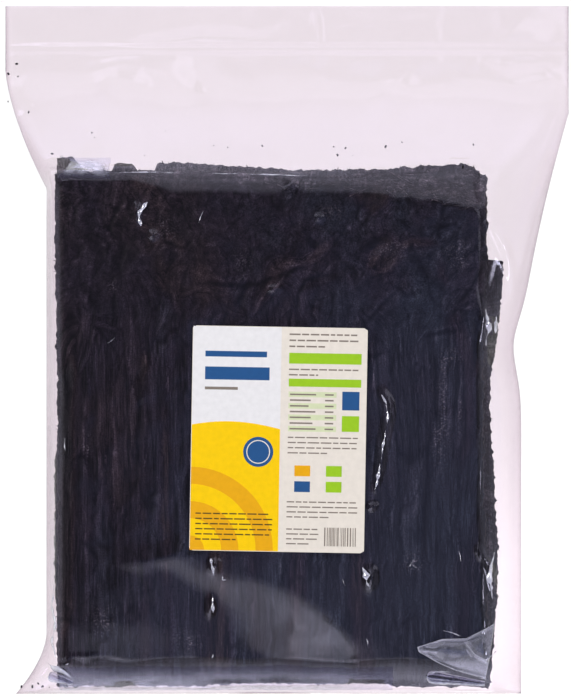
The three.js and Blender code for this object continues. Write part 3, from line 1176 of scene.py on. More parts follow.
def bag_film():
    """The bag's film as one closed skin: front, back, side folds, header and bottom seal."""
    columns = sizes().film_columns
    rows = sizes().film_rows
    back_columns = columns // 7
    x, y_front, y, _, z = front_film()
    y = y[:, None]
    front = np.stack([x, y_front, z], 2)
    across_back = crowded(np.linspace(0, 1, back_columns + 1), 0.6)[None, 1:-1]
    x_back = mix(left_edge(y), right_edge(y), across_back)
    y_back = np.broadcast_to(y, x_back.shape)
    back = np.stack([x_back, y_back, film_back(x_back, y_back)], 2)
    points = np.concatenate([front.reshape(-1, 3), back.reshape(-1, 3)])
    index = np.arange((rows + 1) * (columns + 1)).reshape(rows + 1, columns + 1)
    inner = index.size + np.arange((rows + 1) * (back_columns - 1)).reshape(rows + 1, back_columns - 1)
    under = np.concatenate([index[:, :1], inner, index[:, -1:]], 1)
    faces = grid_faces(rows + 1, columns + 1)
    quads = [under[:-1, :-1], under[1:, :-1], under[1:, 1:], under[:-1, 1:]]
    faces += np.stack([q.ravel() for q in quads], 1).tolist()
    faces.append(np.concatenate([under[0], index[0, -2:0:-1]]).tolist())
    faces.append(np.concatenate([index[-1], under[-1, -2:0:-1]]).tolist())
    film = piece("bag_film", points, faces, [film_material()])
    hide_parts("bag")
    return film


# Folds of film: the folded corner, the curls, the seam, stretched film and pleats

# Corner of the seal that lies folded on the face: its upper and lower edge and its crease
FLAP_UPPER = ((91, -208), (108, -202.5), (125, -202), (145, -192))
FLAP_LOWER = ((92, -211), (106, -219), (117, -224), (139, -231))
FLAP_CREASE = ((125, -206), (131, -213), (139, -217), (146, -211))
# Layers of film in a fold and in a pleat, and the thickness of both
FOLD_LAYERS = 2
PLEAT_LAYERS = 4
FOLD_THICK = 0.12
# Narrow pleats that stand up from the film and catch the light: the line each follows and its half width
FILM_PLEATS = (
    (((-97, 102), (-103, 96), (-102, 86)), 1.7),
    (((66, -32), (69, -37), (70.5, -46), (69.5, -52)), 1.5),
    (((68.5, -57), (67, -68), (66, -77)), 0.8),
    (((65, -80), (63.5, -89), (61, -98)), 1.1),
    (((53, -152), (55, -160), (57.5, -167)), 2.3),
    (((-52.5, -146), (-51.7, -158)), 1.5),
    (((-52.4, -171), (-51.7, -184)), 1.2),
    (((139, 28), (141, 14), (139, 2)), 1.6),
    (((147, 23), (146, 11)), 1.1),
    (((145, -142), (141.5, -158), (143, -175)), 1.6),
    (((-163, -165), (-165, -180), (-162, -192), (-165, -205), (-161, -216)), 0.9),
    (((-168, -221), (-160, -224), (-151, -229)), 2.2),
    (((-122, 123.2), (-100, 123.6), (-76, 123.2)), 0.4),
    (((109, -196.5), (115, -198), (121.5, -200.5)), 0.35),
    (((-52, 122.8), (-20, 122.2), (14, 121)), 0.35),
    (((98.5, -233), (106, -233.6), (115, -235), (126, -236.2)), 1.4),
    (((97, -232), (98, -229), (101, -226.6), (106, -225.4), (114, -226.2)), 0.7),
)
RANDOM_PLEATS = 12
# Radius of the rounded edges of a curl and of the folded corner, and how high the corner's crease stands
CURL_RIM = 0.42
FLAP_RIM = 0.28
FLAP_CREASE_LIFT = 3.4
# A curl rounds off over this share of its length at its wide end
CURL_NOSE = 0.16
# Height of a curl as a share of its width
CURL_FLAT = 0.4
# Rows of a curl's grid where its two sides turn away from above
CURL_SIDES = (10, 27)
# The seam at the bottom: where it runs from and to, and its lower and upper edge
STRIP_FROM, STRIP_TO = -160.0, 74.0
STRIP_LOW, STRIP_HIGH = -240.0, -222.0
# Film stretched over the top left corner of the sheets, with a painted white highlight: its left and right
# edge, and its lower and upper one
TIGHT_LEFT, TIGHT_RIGHT = -152.0, -123.5
TIGHT_LOW, TIGHT_HIGH = 119.0, 134.0
# How cloudy and bright each kind of fold is: the seam, the folded corner, the curls and the stretched film
# The seam's and the folded corner's veils are partly painted reflection, the stretched film's a painted
# highlight
STRIP_HAZE_AND_PAINTED_REFLECTION = 0.6
FLAP_HAZE_AND_PAINTED_REFLECTION = 1.15
CURL_VEIL = 0.05
TIGHT_PAINTED_HIGHLIGHT = 1.7
# Curls of film, rolled up on themselves: both ends, radius at each end and turns
FILM_CURLS = (
    ((98, -229), (138.5, -234.5), 5.4, 1.3, 1.15),
    ((-167, -229), (-150, -234), 4.0, 1.2, 1.1),
)


def slab(grid):
    """A closed thin sheet of folded film: a grid of places, and the same grid set back along its normals."""
    normal = np.cross(np.gradient(grid, axis=1), np.gradient(grid, axis=0))
    normal /= np.linalg.norm(normal, axis=2)[:, :, None]
    return two_sided(grid, grid - FOLD_THICK * normal)


def on_film(x, y):
    """Height of the front film at places on it."""
    rows, shares, z = front_film()[2:]
    row = np.interp(y, rows, np.arange(len(rows)))
    share = (x - left_edge(y)) / (right_edge(y) - left_edge(y))
    column = np.interp(share, shares, np.arange(len(shares)))
    return sampled(z, (0, 0), 1.0, column, row)


def corner_flap():
    """The corner of the bottom seal, folded up on the face and creased."""
    s, t = unit_grid(90, 44)
    upper = np.array(FLAP_UPPER, float)
    lower = np.array(FLAP_LOWER, float)
    stops = np.linspace(0, 1, len(upper))
    x = mix(np.interp(s, stops, lower[:, 0]), np.interp(s, stops, upper[:, 0]), t)
    y = mix(np.interp(s, stops, lower[:, 1]), np.interp(s, stops, upper[:, 1]), t)
    away, _ = along_line(x, y, FLAP_CREASE)
    lift = 0.9 + 1.6 * np.sin(math.pi * t) * ramp(s, 0.0, 0.3) + 1.1 * peak(away, 1.3)
    rolled = 1.2 * peak(1 - t, 0.06) + peak(t, 0.06)
    ripple = 0.16 * noise(x / 9.0, y / 13.0, SEED + 41)
    return np.stack([x, y, on_film(x, y) + lift + rolled + ripple], 2)


def seal_strip():
    """The seam along the bottom of the bag, pressed up against the lower edge of the sheets."""
    s, t = unit_grid(160, 12)
    x = mix(STRIP_FROM, STRIP_TO, s)
    upper = STRIP_HIGH + 1.6 * noise(x / 26.0, 0.5, SEED + 43) + 0.7 * noise(x / 7.0, 1.5, SEED + 44)
    lower = STRIP_LOW + 0.5 * noise(x / 9.0, 2.5, SEED + 45)
    y = mix(lower, upper, t)
    ripple = 0.25 * noise(x / 5.0, y / 3.0, SEED + 46)
    # The seam is milkiest at its lower edge and fades upward: partly its own haze, partly painted reflection
    fade = (1.0 - ramp(t, 0.0, 1.0)) * (1.0 - ramp(x, STRIP_TO - 55.0, STRIP_TO - 2.0))
    return np.stack([x, y, on_film(x, y) + 0.5 + ripple], 2), fade


def tight_film():
    """Film drawn tight over the top left corner of the sheets, and how strong its painted white highlight is.
    """
    s, t = unit_grid(40, 30)
    y = mix(TIGHT_LOW, TIGHT_HIGH, t)
    x = mix(TIGHT_LEFT - 9.0 * (1.0 - t) ** 2, TIGHT_RIGHT, s) + 0.8 * noise(y / 4.0, 0.5, SEED + 47)
    ripple = 0.3 * noise(x / 9.0, y / 5.0, SEED + 48)
    ragged = t - 0.12 * noise(x / 5.0, y / 9.0, SEED + 49)
    # Painted highlight: milky white where a highlight lies on the stretched film, fading towards its edges
    painted_highlight = ramp(ragged, 0.1, 0.55) * ramp(s, 0.0, 0.05)
    painted_highlight = painted_highlight * (1.0 - ramp(s + 0.4 * t, 0.8, 1.3)) * (1.0 - ramp(t, 0.6, 1.0))
    return np.stack([x, y, on_film(x, y) + 0.5 + ripple], 2), painted_highlight


def film_curl(start, end, wide, narrow, turns):
    """A curl of film that rolls up on itself and tapers to one end."""
    s, t = unit_grid(40, 40)
    way = np.array(end, float) - np.array(start, float)
    side = np.array([-way[1], way[0]]) / np.linalg.norm(way)
    nose = np.sqrt(np.clip(1.0 - (1.0 - s / CURL_NOSE).clip(0.0) ** 2, 0.03, 1.0))
    radius = mix(wide, narrow, s**0.8) * (1 - 0.22 * t) * nose
    angle = -0.6 * math.pi + 2 * math.pi * turns * t
    x = start[0] + way[0] * s + side[0] * radius * np.cos(angle)
    y = start[1] + way[1] * s + side[1] * radius * np.cos(angle)
    middle = on_film(start[0] + way[0] * s, start[1] + way[1] * s) + CURL_FLAT * radius
    return np.stack([x, y, middle + CURL_FLAT * radius * np.sin(angle)], 2)


def pleat(line, half, seed):
    """A narrow ridge of film along a line on the face, of uneven width and thinning to both ends."""
    line = np.array(line, float)
    run = np.concatenate([[0.0], np.cumsum(np.linalg.norm(np.diff(line, axis=0), axis=1))])
    stations = np.linspace(0, run[-1], 5 + int(run[-1] / 0.8))
    middle = np.stack([np.interp(stations, run, line[:, axis]) for axis in (0, 1)], 1)
    ahead = np.gradient(middle, axis=0)
    ahead /= np.linalg.norm(ahead, axis=1)[:, None]
    side = np.column_stack([ahead[:, 1], -ahead[:, 0]])
    thin = np.sin(math.pi * np.clip(stations / run[-1], 0.02, 0.98)) ** 0.6
    width = half * thin * np.clip(0.8 + 1.2 * noise(stations / 4.0, 2.5, seed), 0.1, 1.5)
    middle = middle + side * 0.6 * half * noise(stations / 7.0, 5.5, seed)[:, None]
    across = np.linspace(-1, 1, 7)
    x = middle[:, :1] + side[:, :1] * width[:, None] * across
    y = middle[:, 1:] + side[:, 1:] * width[:, None] * across
    z = on_film(x, y) + 0.06 + 0.5 * width[:, None] * (1.0 - across**2)
    return slab(np.stack([x, y, z], 2))


def film_pleats():
    """Pleats that stand up from the face of the film and rounded edges of its folds, one mesh."""
    draw = np.random.default_rng(SEED + 24)
    pleats = list(FILM_PLEATS)
    for _ in range(RANDOM_PLEATS):
        middle = np.array([draw.uniform(-155, 132), draw.uniform(-215, 112)])
        way = draw.normal(0, 0.6)
        reach = draw.uniform(1.5, 5.0) * np.array([math.sin(way), math.cos(way)])
        half = draw.uniform(0.25, 0.5)
        if float(label_cover(*middle)) == 0.0:
            pleats.append(((middle - reach, middle + draw.normal(0, 0.8, 2), middle + reach), half))
    parts = [pleat(line, half, SEED + 300 + n) for n, (line, half) in enumerate(pleats)]
    points, faces = joined(parts + [bead(line, radius) for line, radius in fold_edges()])
    # Pleats and fold edges are milky all over: partly creased film's own haze, partly a painted highlight
    veil = np.ones(len(points))
    return piece("bag_film_pleats", points, faces, [film_material(PLEAT_LAYERS)], {"veil": veil})


def bead(line, radius):
    """A thin closed tube along a line of points."""
    line = np.asarray(line, float)
    ahead = np.gradient(line, axis=0)
    ahead /= np.linalg.norm(ahead, axis=1)[:, None]
    # Any direction serves that no line runs along
    askew = (0.31, 0.2, 0.93)
    side = np.cross(ahead, askew)
    side /= np.linalg.norm(side, axis=1)[:, None]
    up = np.cross(side, ahead)
    sides = 6
    turn = np.arange(sides) * 2 * math.pi / sides
    spokes = np.cos(turn)[:, None] * side[:, None] + np.sin(turn)[:, None] * up[:, None]
    rings = line[:, None] + radius * spokes
    loops = np.arange(len(line) * sides).reshape(len(line), sides)
    faces = [face for lower, upper in zip(loops, loops[1:]) for face in ring_faces(lower, upper)]
    return rings.reshape(-1, 3), faces + [loops[0, ::-1].tolist(), loops[-1].tolist()]


def fold_edges():
    """Lines along the edges of the folded corner and the curls and along the corner's crease, with radii."""
    flap = corner_flap()
    lines = [(edge, FLAP_RIM) for edge in (flap[0], flap[-1], flap[:, 0])]
    crease = np.array(FLAP_CREASE, float)
    stops = np.linspace(0, len(crease) - 1, 24)
    x, y = (np.interp(stops, np.arange(len(crease)), crease[:, axis]) for axis in (0, 1))
    lines.append((np.stack([x, y, on_film(x, y) + FLAP_CREASE_LIFT], 1), FLAP_RIM))
    for curl in FILM_CURLS:
        grid = film_curl(*curl)
        # Its free edges and one side have a thin rim, and the side that faces the light has a thick one
        thin, thick = CURL_SIDES
        lines += [(edge, CURL_RIM) for edge in (grid[0], grid[-1], grid[thin])]
        lines.append((grid[thick], 2.0 * CURL_RIM))
    return lines


def film_folds():
    """The seam, the stretched film, the folded corner and the curls of film, one mesh."""
    flap = corner_flap()
    strip, fade = seal_strip()
    tight, painted_highlight = tight_film()
    sheets = [(strip, STRIP_HAZE_AND_PAINTED_REFLECTION * fade), (tight, TIGHT_PAINTED_HIGHLIGHT * painted_highlight)]
    # The folded corner is milky all over: partly film folded on itself, partly painted reflection
    sheets.append((flap, np.full(flap.shape[:2], FLAP_HAZE_AND_PAINTED_REFLECTION)))
    for curl in FILM_CURLS:
        grid = film_curl(*curl)
        sheets.append((grid, np.full(grid.shape[:2], CURL_VEIL)))
    points, faces = joined(slab(grid) for grid, _ in sheets)
    veil = np.concatenate([np.tile(share.ravel(), 2) for _, share in sheets])
    return piece("bag_film_folds", points, faces, [film_material(FOLD_LAYERS)], {"veil": veil})


# The label and its print

LABEL_MIDDLE = (LABEL_LOW + LABEL_HIGH) / 2
LABEL_TURN = math.radians(-1.0)
LABEL_WIDTH = 122.0
LABEL_HEIGHT = 157.0
LABEL_CORNER = 1.5
PRINT_LIFT = 0.05


def to_label(x, y):
    """Places on the pack as places on the label, from its middle."""
    dx = x - LABEL_MIDDLE[0]
    dy = y - LABEL_MIDDLE[1]
    u = dx * math.cos(LABEL_TURN) + dy * math.sin(LABEL_TURN)
    return u, dy * math.cos(LABEL_TURN) - dx * math.sin(LABEL_TURN)


def from_label(u, v):
    """Places on the label as places on the pack."""
    x = LABEL_MIDDLE[0] + u * math.cos(LABEL_TURN) - v * math.sin(LABEL_TURN)
    return x, LABEL_MIDDLE[1] + u * math.sin(LABEL_TURN) + v * math.cos(LABEL_TURN)


def label_cover(x, y):
    """1 under the label, falling to 0 a few millimetres outside it."""
    u, v = to_label(x, y)
    outside = np.maximum(np.abs(u) - LABEL_WIDTH / 2, np.abs(v) - LABEL_HEIGHT / 2)
    return 1.0 - ramp(outside, 0.3, 4.0)


def label_top(u, v):
    """Height of the label's upper face: stuck down flat, with a slight lift at two corners."""
    lift = 0.5 * bell(u, v, 61, -46, 9, 7) + 0.25 * bell(u, v, -61, 78, 14, 14)
    return FACE_HEIGHT + 0.06 + sizes().label_thickness / MM + lift


def label_paper():
    """The label's paper: a closed sheet with small round corners."""
    s, t = np.meshgrid(np.linspace(-1, 1, 50), np.linspace(-1, 1, 64))
    u = s * LABEL_WIDTH / 2
    v = t * LABEL_HEIGHT / 2
    nearest = np.minimum(LABEL_WIDTH / 2 - np.abs(u), LABEL_CORNER)
    cut = LABEL_CORNER - np.sqrt(np.maximum(LABEL_CORNER**2 - (LABEL_CORNER - nearest) ** 2, 0))
    v = v * (1 - cut / (LABEL_HEIGHT / 2) * np.abs(t) ** 20)
    x, y = from_label(u, v)
    z = label_top(u, v)
    thick = sizes().label_thickness / MM
    points, faces = two_sided(np.stack([x, y, z], 2), np.stack([x, y, z - thick], 2))
    paper = piece("label_paper", points, faces, [paper_material()], smooth=False)
    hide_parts("label")
    return paper


class Print:
    """Gathers the printed fields of the label, each a small patch of mesh that follows the paper."""

    def __init__(self):
        self.points = []
        self.faces = []
        self.inks = []
        self.level = 0

    def patch(self, u, v, ink):
        """A grid of places on the label filled with one ink."""
        x, y = from_label(u, v)
        z = label_top(u, v) + PRINT_LIFT * (1 + self.level)
        faces = grid_faces(*u.shape, start=len(self.points))
        self.points += np.stack([x, y, z], 2).reshape(-1, 3).tolist()
        self.faces += faces
        self.inks += [ink] * len(faces)

    def bar(self, left, low, right, high, ink):
        """A plain rectangle."""
        columns = 2 + int((right - left) / 8)
        rows = 2 + int((high - low) / 8)
        self.patch(*np.meshgrid(np.linspace(left, right, columns), np.linspace(low, high, rows)), ink)

    def arc(self, u, v, inner, outer, start, end, ink):
        """A band of a ring, or a sector where inner is 0, with angles in degrees."""
        steps = 3 + int(abs(end - start) / 6)
        angle, radius = np.meshgrid(np.radians(np.linspace(end, start, steps)), np.linspace(inner, outer, 4))
        self.patch(u + radius * np.cos(angle), v + radius * np.sin(angle), ink)

    def lines(self, left, right, high, count, pitch, thick, ink, draw):
        """Plain strokes that stand for small print, the last one short."""
        for n in range(count):
            end = right - draw.uniform(0, 3) if n < count - 1 else mix(left, right, draw.uniform(0.4, 0.8))
            cursor = left
            while cursor < end - 1.5:
                word = min(draw.uniform(3.0, 8.5), end - cursor)
                self.bar(cursor, high - n * pitch - thick, cursor + word, high - n * pitch, ink)
                cursor += word + 1.1


def label_print():
    """The label's print: plain fields, arcs, bars and strokes in flat inks, with no lettering."""
    draw = np.random.default_rng(SEED + 6)
    inks = ("lilac", "yellow", "amber", "lime", "pale_lime", "blue", "ink", "paper", "dark_ink")
    lilac, yellow, amber, lime, pale, blue, ink, paper, dark = range(len(inks))
    sheet = Print()
    left, right = -LABEL_WIDTH / 2, LABEL_WIDTH / 2
    low, high = -LABEL_HEIGHT / 2, LABEL_HEIGHT / 2
    split = 1.0
    # Left half: a yellow hill with arcs in its corner, title bars and a disc
    sheet.bar(left + 0.4, low + 0.4, split, high - 0.4, lilac)
    sheet.level = 1
    base = 8.0
    hill = np.linspace(left + 0.4, split, 16)
    crest = base + 9.0 * np.sin(np.linspace(0.25, 0.85, 16) * math.pi) - 5.0
    sheet.patch(np.tile(hill, (18, 1)), np.linspace(np.full(16, low + 0.4), crest, 18), yellow)
    for n, radius in enumerate((58, 46, 34, 22, 10)):
        sheet.level = 2 + n
        sheet.arc(left + 0.4, low + 0.4, 0, radius, 0, 90, amber if n % 2 == 0 else yellow)
    sheet.level = 2
    sheet.bar(left + 9, 57, split - 10, 61, blue)
    sheet.bar(left + 9, 41, split - 8, 50, blue)
    sheet.bar(left + 9, 34, split - 30, 36, ink)
    sheet.arc(split - 15, -9, 0, 10.5, 0, 360, blue)
    sheet.level = 3
    sheet.arc(split - 15, -9, 7.6, 8.3, 0, 360, paper)
    sheet.level = 7
    sheet.lines(left + 4, split - 4, -52, 6, 3.6, 0.9, dark, draw)
    sheet.level = 1
    # Right half: strokes, bars, a table and tiles
    column = split + 5.5
    edge = right - 4.0
    sheet.lines(column, edge, 74, 3, 4.2, 1.1, ink, draw)
    sheet.bar(column, 53.0, edge, 60.5, lime)
    sheet.lines(column, edge, 49.5, 2, 3.8, 1.0, ink, draw)
    sheet.bar(column, 37.0, edge, 42.5, lime)
    for n in range(7):
        sheet.level = 1
        high_edge = 33.5 - n * 4.0
        if n % 2 == 0:
            sheet.bar(column, high_edge - 3.8, edge - 17, high_edge, pale)
        sheet.level = 2
        sheet.bar(column + 1, high_edge - 2.5, column + draw.uniform(12, 20), high_edge - 1.4, ink)
        sheet.bar(edge - 25, high_edge - 2.5, edge - 19, high_edge - 1.4, ink)
    sheet.level = 1
    sheet.bar(edge - 13, 21, edge - 1, 34, blue)
    sheet.bar(edge - 13, 6, edge - 1, 17, lime)
    sheet.lines(column, edge, 2, 4, 3.6, 0.9, ink, draw)
    for n, tone in enumerate((amber, lime, blue, lime)):
        corner = column + 5 + (n % 2) * 22
        drop = -18 - (n // 2) * 11
        sheet.bar(corner, drop - 7.5, corner + 11, drop, tone)
    sheet.lines(column, edge, -43, 4, 3.5, 0.9, ink, draw)
    sheet.lines(column, edge - 27, -62, 4, 3.4, 0.9, ink, draw)
    cursor = edge - 24
    while cursor < edge - 1:
        stroke = draw.choice([0.3, 0.6, 0.9])
        sheet.bar(cursor, -74, cursor + stroke, -61, ink)
        cursor += stroke + draw.choice([0.4, 0.7, 1.0])
    print_inks = [ink_material(name) for name in inks]
    return piece("label_print", sheet.points, sheet.faces, print_inks, ink_of_face=sheet.inks)


# Materials


def node(tree, kind, inputs=None, **settings):
    """Adds one node with its settings, and sets each input or links it to a socket or another node."""
    made = tree.nodes.new("ShaderNode" + kind)
    for key, value in settings.items():
        setattr(made, key, value)
    for key, value in (inputs or {}).items():
        if isinstance(value, bpy.types.Node):
            value = next(socket for socket in value.outputs if socket.enabled)
        if isinstance(value, bpy.types.NodeSocket):
            tree.links.new(value, made.inputs[key])
        else:
            made.inputs[key].default_value = value
    return made


def spans(low, high, at_low, at_high):
    """Inputs that map one range of values to another."""
    return {"From Min": low, "From Max": high, "To Min": at_low, "To Max": at_high}


def pattern(place, size, detail, **more):
    """Inputs of noise with features that many millimetres wide."""
    return {"Vector": place, "Scale": 1 / (size * MM), "Detail": detail, **more}


def new_material(name):
    """An empty node material, what adds a node to it, and the place that its patterns are drawn at."""
    made = bpy.data.materials.new(name)
    made.use_nodes = True
    made.node_tree.nodes.clear()
    add = partial(node, made.node_tree)
    return made, add, add("TexCoord").outputs["Object"]


def opaque(colour):
    """A linear colour with full alpha, as node sockets take it."""
    return (*colour, 1.0)


def wakame_material():
    """Dried pressed frond: near black, dull, with brown and olive thin spots and paler fibrous ridges."""
    name = "dried_frond_pressed"
    if name in bpy.data.materials:
        return bpy.data.materials[name]
    made, add, place = new_material(name)
    tones = colours()
    tint, ridge, grain, leafy, salted, pale = (
        add("Attribute", attribute_name=look).outputs["Fac"]
        for look in ("tint", "ridge", "grain", "leafy", "salt", "pale")
    )
    flow = add("Attribute", attribute_name="flow").outputs["Vector"]
    # Fibres run along each frond, from bundles five millimetres wide down to strands of under one
    fibre_place = add("Mapping", {"Vector": flow, "Scale": (1 / 4.5, 1 / 90, 1.0)})
    strands = {"Scale": 1.0, "Detail": 4.0, "Roughness": 0.95, "Distortion": 0.05}
    fibre = add("TexNoise", {"Vector": fibre_place, **strands})
    # Leafy fronds are grainy like leather instead
    leather = add("TexNoise", pattern(place, 6, 4.0, Roughness=0.95))
    blend = add("Math", {0: leafy, 1: 0.7}, operation="MULTIPLY")
    texture = add("Mix", {"Factor": blend, "A": fibre, "B": leather})
    # Splits run along each frond too, about a centimetre apart, drawn as thin dark lines of painted shade
    split_place = add("Mapping", {"Vector": flow, "Scale": (1 / 11, 1 / 110, 1.0)})
    split = add("TexNoise", {"Vector": split_place, "Scale": 1.0, "Detail": 2.0})
    from_split = add("Math", {0: split, 1: 0.5}, operation="SUBTRACT")
    off_split = add("Math", {0: from_split}, operation="ABSOLUTE")
    line = add("MapRange", {"Value": off_split, **spans(0.0, 0.022, 0.35, 1.0)})
    # Grains of salt and fibre ends lie together in patches
    salt = add("TexNoise", pattern(place, 1.3, 3.0, Roughness=0.7))
    salt_grain = add("MapRange", {"Value": salt, **spans(0.52, 0.68, 0.0, 0.5)})
    salty = add("Math", {0: salted, 1: salt_grain, 2: pale}, operation="MULTIPLY_ADD")
    # Skin puckers as it dries, in ripples about two millimetres apart
    pucker_scale = (1 / (3.2 * MM), 1 / (2.0 * MM), 1 / (3.2 * MM))
    pucker_place = add("Mapping", {"Vector": place, "Scale": pucker_scale})
    pucker = add("TexNoise", {"Vector": pucker_place, "Scale": 1.0, "Detail": 4.0, "Distortion": 0.6})
    # Broad patches where the frond dried thicker or thinner, two centimetres across
    patch = add("TexNoise", pattern(place, 21, 4.0, Roughness=0.6))
    shifted = add("Math", {0: patch, 1: 0.3, 2: tint}, operation="MULTIPLY_ADD")
    flecked = add("Math", {0: texture, 1: 0.15, 2: shifted}, operation="MULTIPLY_ADD")
    shade = add("Math", {0: flecked, 1: 0.225}, operation="SUBTRACT")
    tone = add("ValToRGB", {"Fac": shade})
    stops = tone.color_ramp.elements
    stops[0].position = TINT_SLATE
    stops[0].color = opaque(tones.slate)
    stops[1].color = opaque(tones.olive)
    for position, colour in ((TINT_PURPLE, tones.purple), (0.72, tones.brown)):
        stops.new(position).color = opaque(colour)
    # Ridges rub pale against the film, most where a fibre stands up
    rubbed = add("MapRange", {"Value": ridge, **spans(0.05, 0.6, 0.0, 0.25)})
    streak = add("MapRange", {"Value": texture, **spans(0.48, 0.72, 0.0, 1.0)})
    bloom = add("Math", {0: rubbed, 1: streak, 2: salty}, operation="MULTIPLY_ADD")
    dusted = add("Mix", {"Factor": bloom, "A": tone, "B": opaque(tones.bloom)}, data_type="RGBA")
    # Film that clings to a frond smooths its look, in patches of two or three centimetres
    cling = add("TexNoise", pattern(place, 26, 2.0))
    coarse = add("MapRange", {"Value": cling, **spans(0.4, 0.6, 5.2, 10.5)})
    from_mean = add("Math", {0: texture, 1: 0.5}, operation="SUBTRACT")
    swing = add("Math", {0: from_mean, 1: coarse, 2: 1.0}, operation="MULTIPLY_ADD")
    speck = add("Math", {0: swing, 1: 0.12}, operation="MAXIMUM")
    # Pores and dust under a millimetre wide
    dust = add("TexNoise", pattern(place, 0.9, 1.0))
    pores = add("MapRange", {"Value": dust, **spans(0.3, 0.7, 0.5, 1.5)})
    # Painted shade darkens hollows between fronds, gaps between fibres, splits and pores, and lightens ridges
    painted_shade = add("MapRange", {"Value": ridge, **spans(-0.65, 0.25, 0.14, 1.12)})
    grain_and_painted_shade = add("MapRange", {"Value": grain, **spans(0.0, 1.0, 0.4, 1.6)})
    for darker in (grain_and_painted_shade, line, speck, pores):
        painted_shade = add("Math", {0: painted_shade, 1: darker}, operation="MULTIPLY")
    dark = add("Mix", {"Factor": 1.0, "A": dusted, "B": painted_shade}, data_type="RGBA", blend_type="MULTIPLY")
    gloss = add("MapRange", {"Value": pucker, **spans(0.3, 0.7, 0.34, 0.6)})
    fibres = add("Bump", {"Height": texture, "Strength": 0.9, "Distance": 0.8 * MM})
    skin = add("Bump", {"Height": pucker, "Strength": 0.7, "Distance": 0.6 * MM, "Normal": fibres})
    surface = add(
        "BsdfPrincipled",
        {"Base Color": dark, "Roughness": gloss, "IOR": 1.4, "Specular IOR Level": 0.2, "Normal": skin},
    )
    add("OutputMaterial", {"Surface": surface})
    return made


# Share of light that one layer of film reflects straight on
FILM_MIRROR = 0.075


def film_material(layers=1):
    """Clear cast polypropylene film: hardly tinted, mirror-like at low angles, with ripples from rollers."""
    name = "polypropylene_film_" + {1: "clear", FOLD_LAYERS: "folded", PLEAT_LAYERS: "pleated"}[layers]
    if name in bpy.data.materials:
        return bpy.data.materials[name]
    made, add, place = new_material(name)
    # Ripples about a centimetre apart bend the reflections a little
    ripple = add("TexNoise", pattern(place, 11, 2.0))
    bump = add("Bump", {"Height": ripple, "Strength": 0.25, "Distance": 0.25 * MM})
    facing = add("LayerWeight", {"Blend": 0.5, "Normal": bump}).outputs["Facing"]
    # Both faces of the film reflect: a thirteenth straight on, all of it at a low angle
    low_angle = add("Math", {0: facing, 1: 5.0}, operation="POWER")
    mirror = add("MapRange", {"Value": low_angle, **spans(0.0, 1.0, FILM_MIRROR * layers, 1.0)})
    if layers == 1:
        # Light crosses more plastic where the film is seen edge on, so it looks darker there
        shades = {"Factor": facing, "A": opaque(colours().film), "B": opaque(colours().film_edge)}
        clear = add("BsdfTransparent", {"Color": add("Mix", shades, data_type="RGBA")})
    else:
        clear = add("BsdfTransparent", {"Color": opaque(colours().film_fold)})
        # Creases leave fine cracks that scatter some light, in clouds about five millimetres wide
        # In the pleats, the fold edges and the stretched film this milky white is partly a painted highlight
        cracks = add("TexNoise", pattern(place, 5, 4.0))
        haze = add("MapRange", {"Value": cracks, **spans(0.3, 0.7, 0.05 * layers, 0.18 * layers)})
        # Each fold is as cloudy and bright as its veil says, and fades out where the veil does
        veil = add("Attribute", attribute_name="veil").outputs["Fac"]
        haze = add("Math", {0: haze, 1: veil}, operation="MULTIPLY")
        mirror = add("Math", {0: mirror, 1: veil}, operation="MULTIPLY")
        milky = add("BsdfDiffuse", {"Color": opaque(colours().film_haze)})
        clear = add("MixShader", {"Fac": haze, 1: clear, 2: milky})
    gloss = add("BsdfAnisotropic", {"Roughness": 0.06 * (1 + layers // 2), "Normal": bump})
    blend = add("MixShader", {"Fac": mirror, 1: clear, 2: gloss})
    add("OutputMaterial", {"Surface": blend})
    return made


def paper_material():
    """Coated label paper: cream, satin, with a faint tooth."""
    return printed_material("label_paper_coated", colours().paper, 0.42)


def ink_material(name):
    """Offset ink on coated paper: flat colour with the paper's own satin tooth."""
    return printed_material("offset_ink_" + name, getattr(colours(), name), 0.38)


def printed_material(name, colour, roughness):
    """A flat colour on coated paper, with slight mottle and tooth."""
    made, add, place = new_material(name)
    # Ink lies a little unevenly, in clouds of about four millimetres
    mottle = add("TexNoise", pattern(place, 4, 3.0))
    depth = add("MapRange", {"Value": mottle, **spans(0.3, 0.7, 0.93, 1.0)})
    inked = {"Factor": 1.0, "A": opaque(colour), "B": depth}
    shade = add("Mix", inked, data_type="RGBA", blend_type="MULTIPLY")
    # Paper tooth is finer than the picture can show, so it is drawn at half a millimetre
    tooth = add("TexNoise", pattern(place, 0.5, 2.0))
    bump = add("Bump", {"Height": tooth, "Strength": 0.15, "Distance": 0.05 * MM})
    surface = add("BsdfPrincipled", {"Base Color": shade, "Roughness": roughness, "Normal": bump})
    add("OutputMaterial", {"Surface": surface})
    return made


def floor_material():
    """Matt painted board: pale and even."""
    made, add, place = new_material("painted_board_matt")
    # Paint dries a little smoother in places, in clouds of six centimetres
    grain = add("TexNoise", pattern(place, 60, 2.0))
    rough = add("MapRange", {"Value": grain, **spans(0.0, 1.0, 0.75, 0.9)})
    surface = add("BsdfPrincipled", {"Base Color": opaque(colours().floor), "Roughness": rough})
    add("OutputMaterial", {"Surface": surface})
    return made


# The stage

# Strip lights that rake the fronds and glint in the pleats: name, place of the middle, width and length in
# metres, and brightness
STRIP_LIGHTS = (
    ("strip_left", (-1.3, 0.35, 1.15), 0.14, 1.2, 27.0),
    ("strip_right", (1.2, -0.1, 1.2), 0.1, 1.1, 18.0),
)
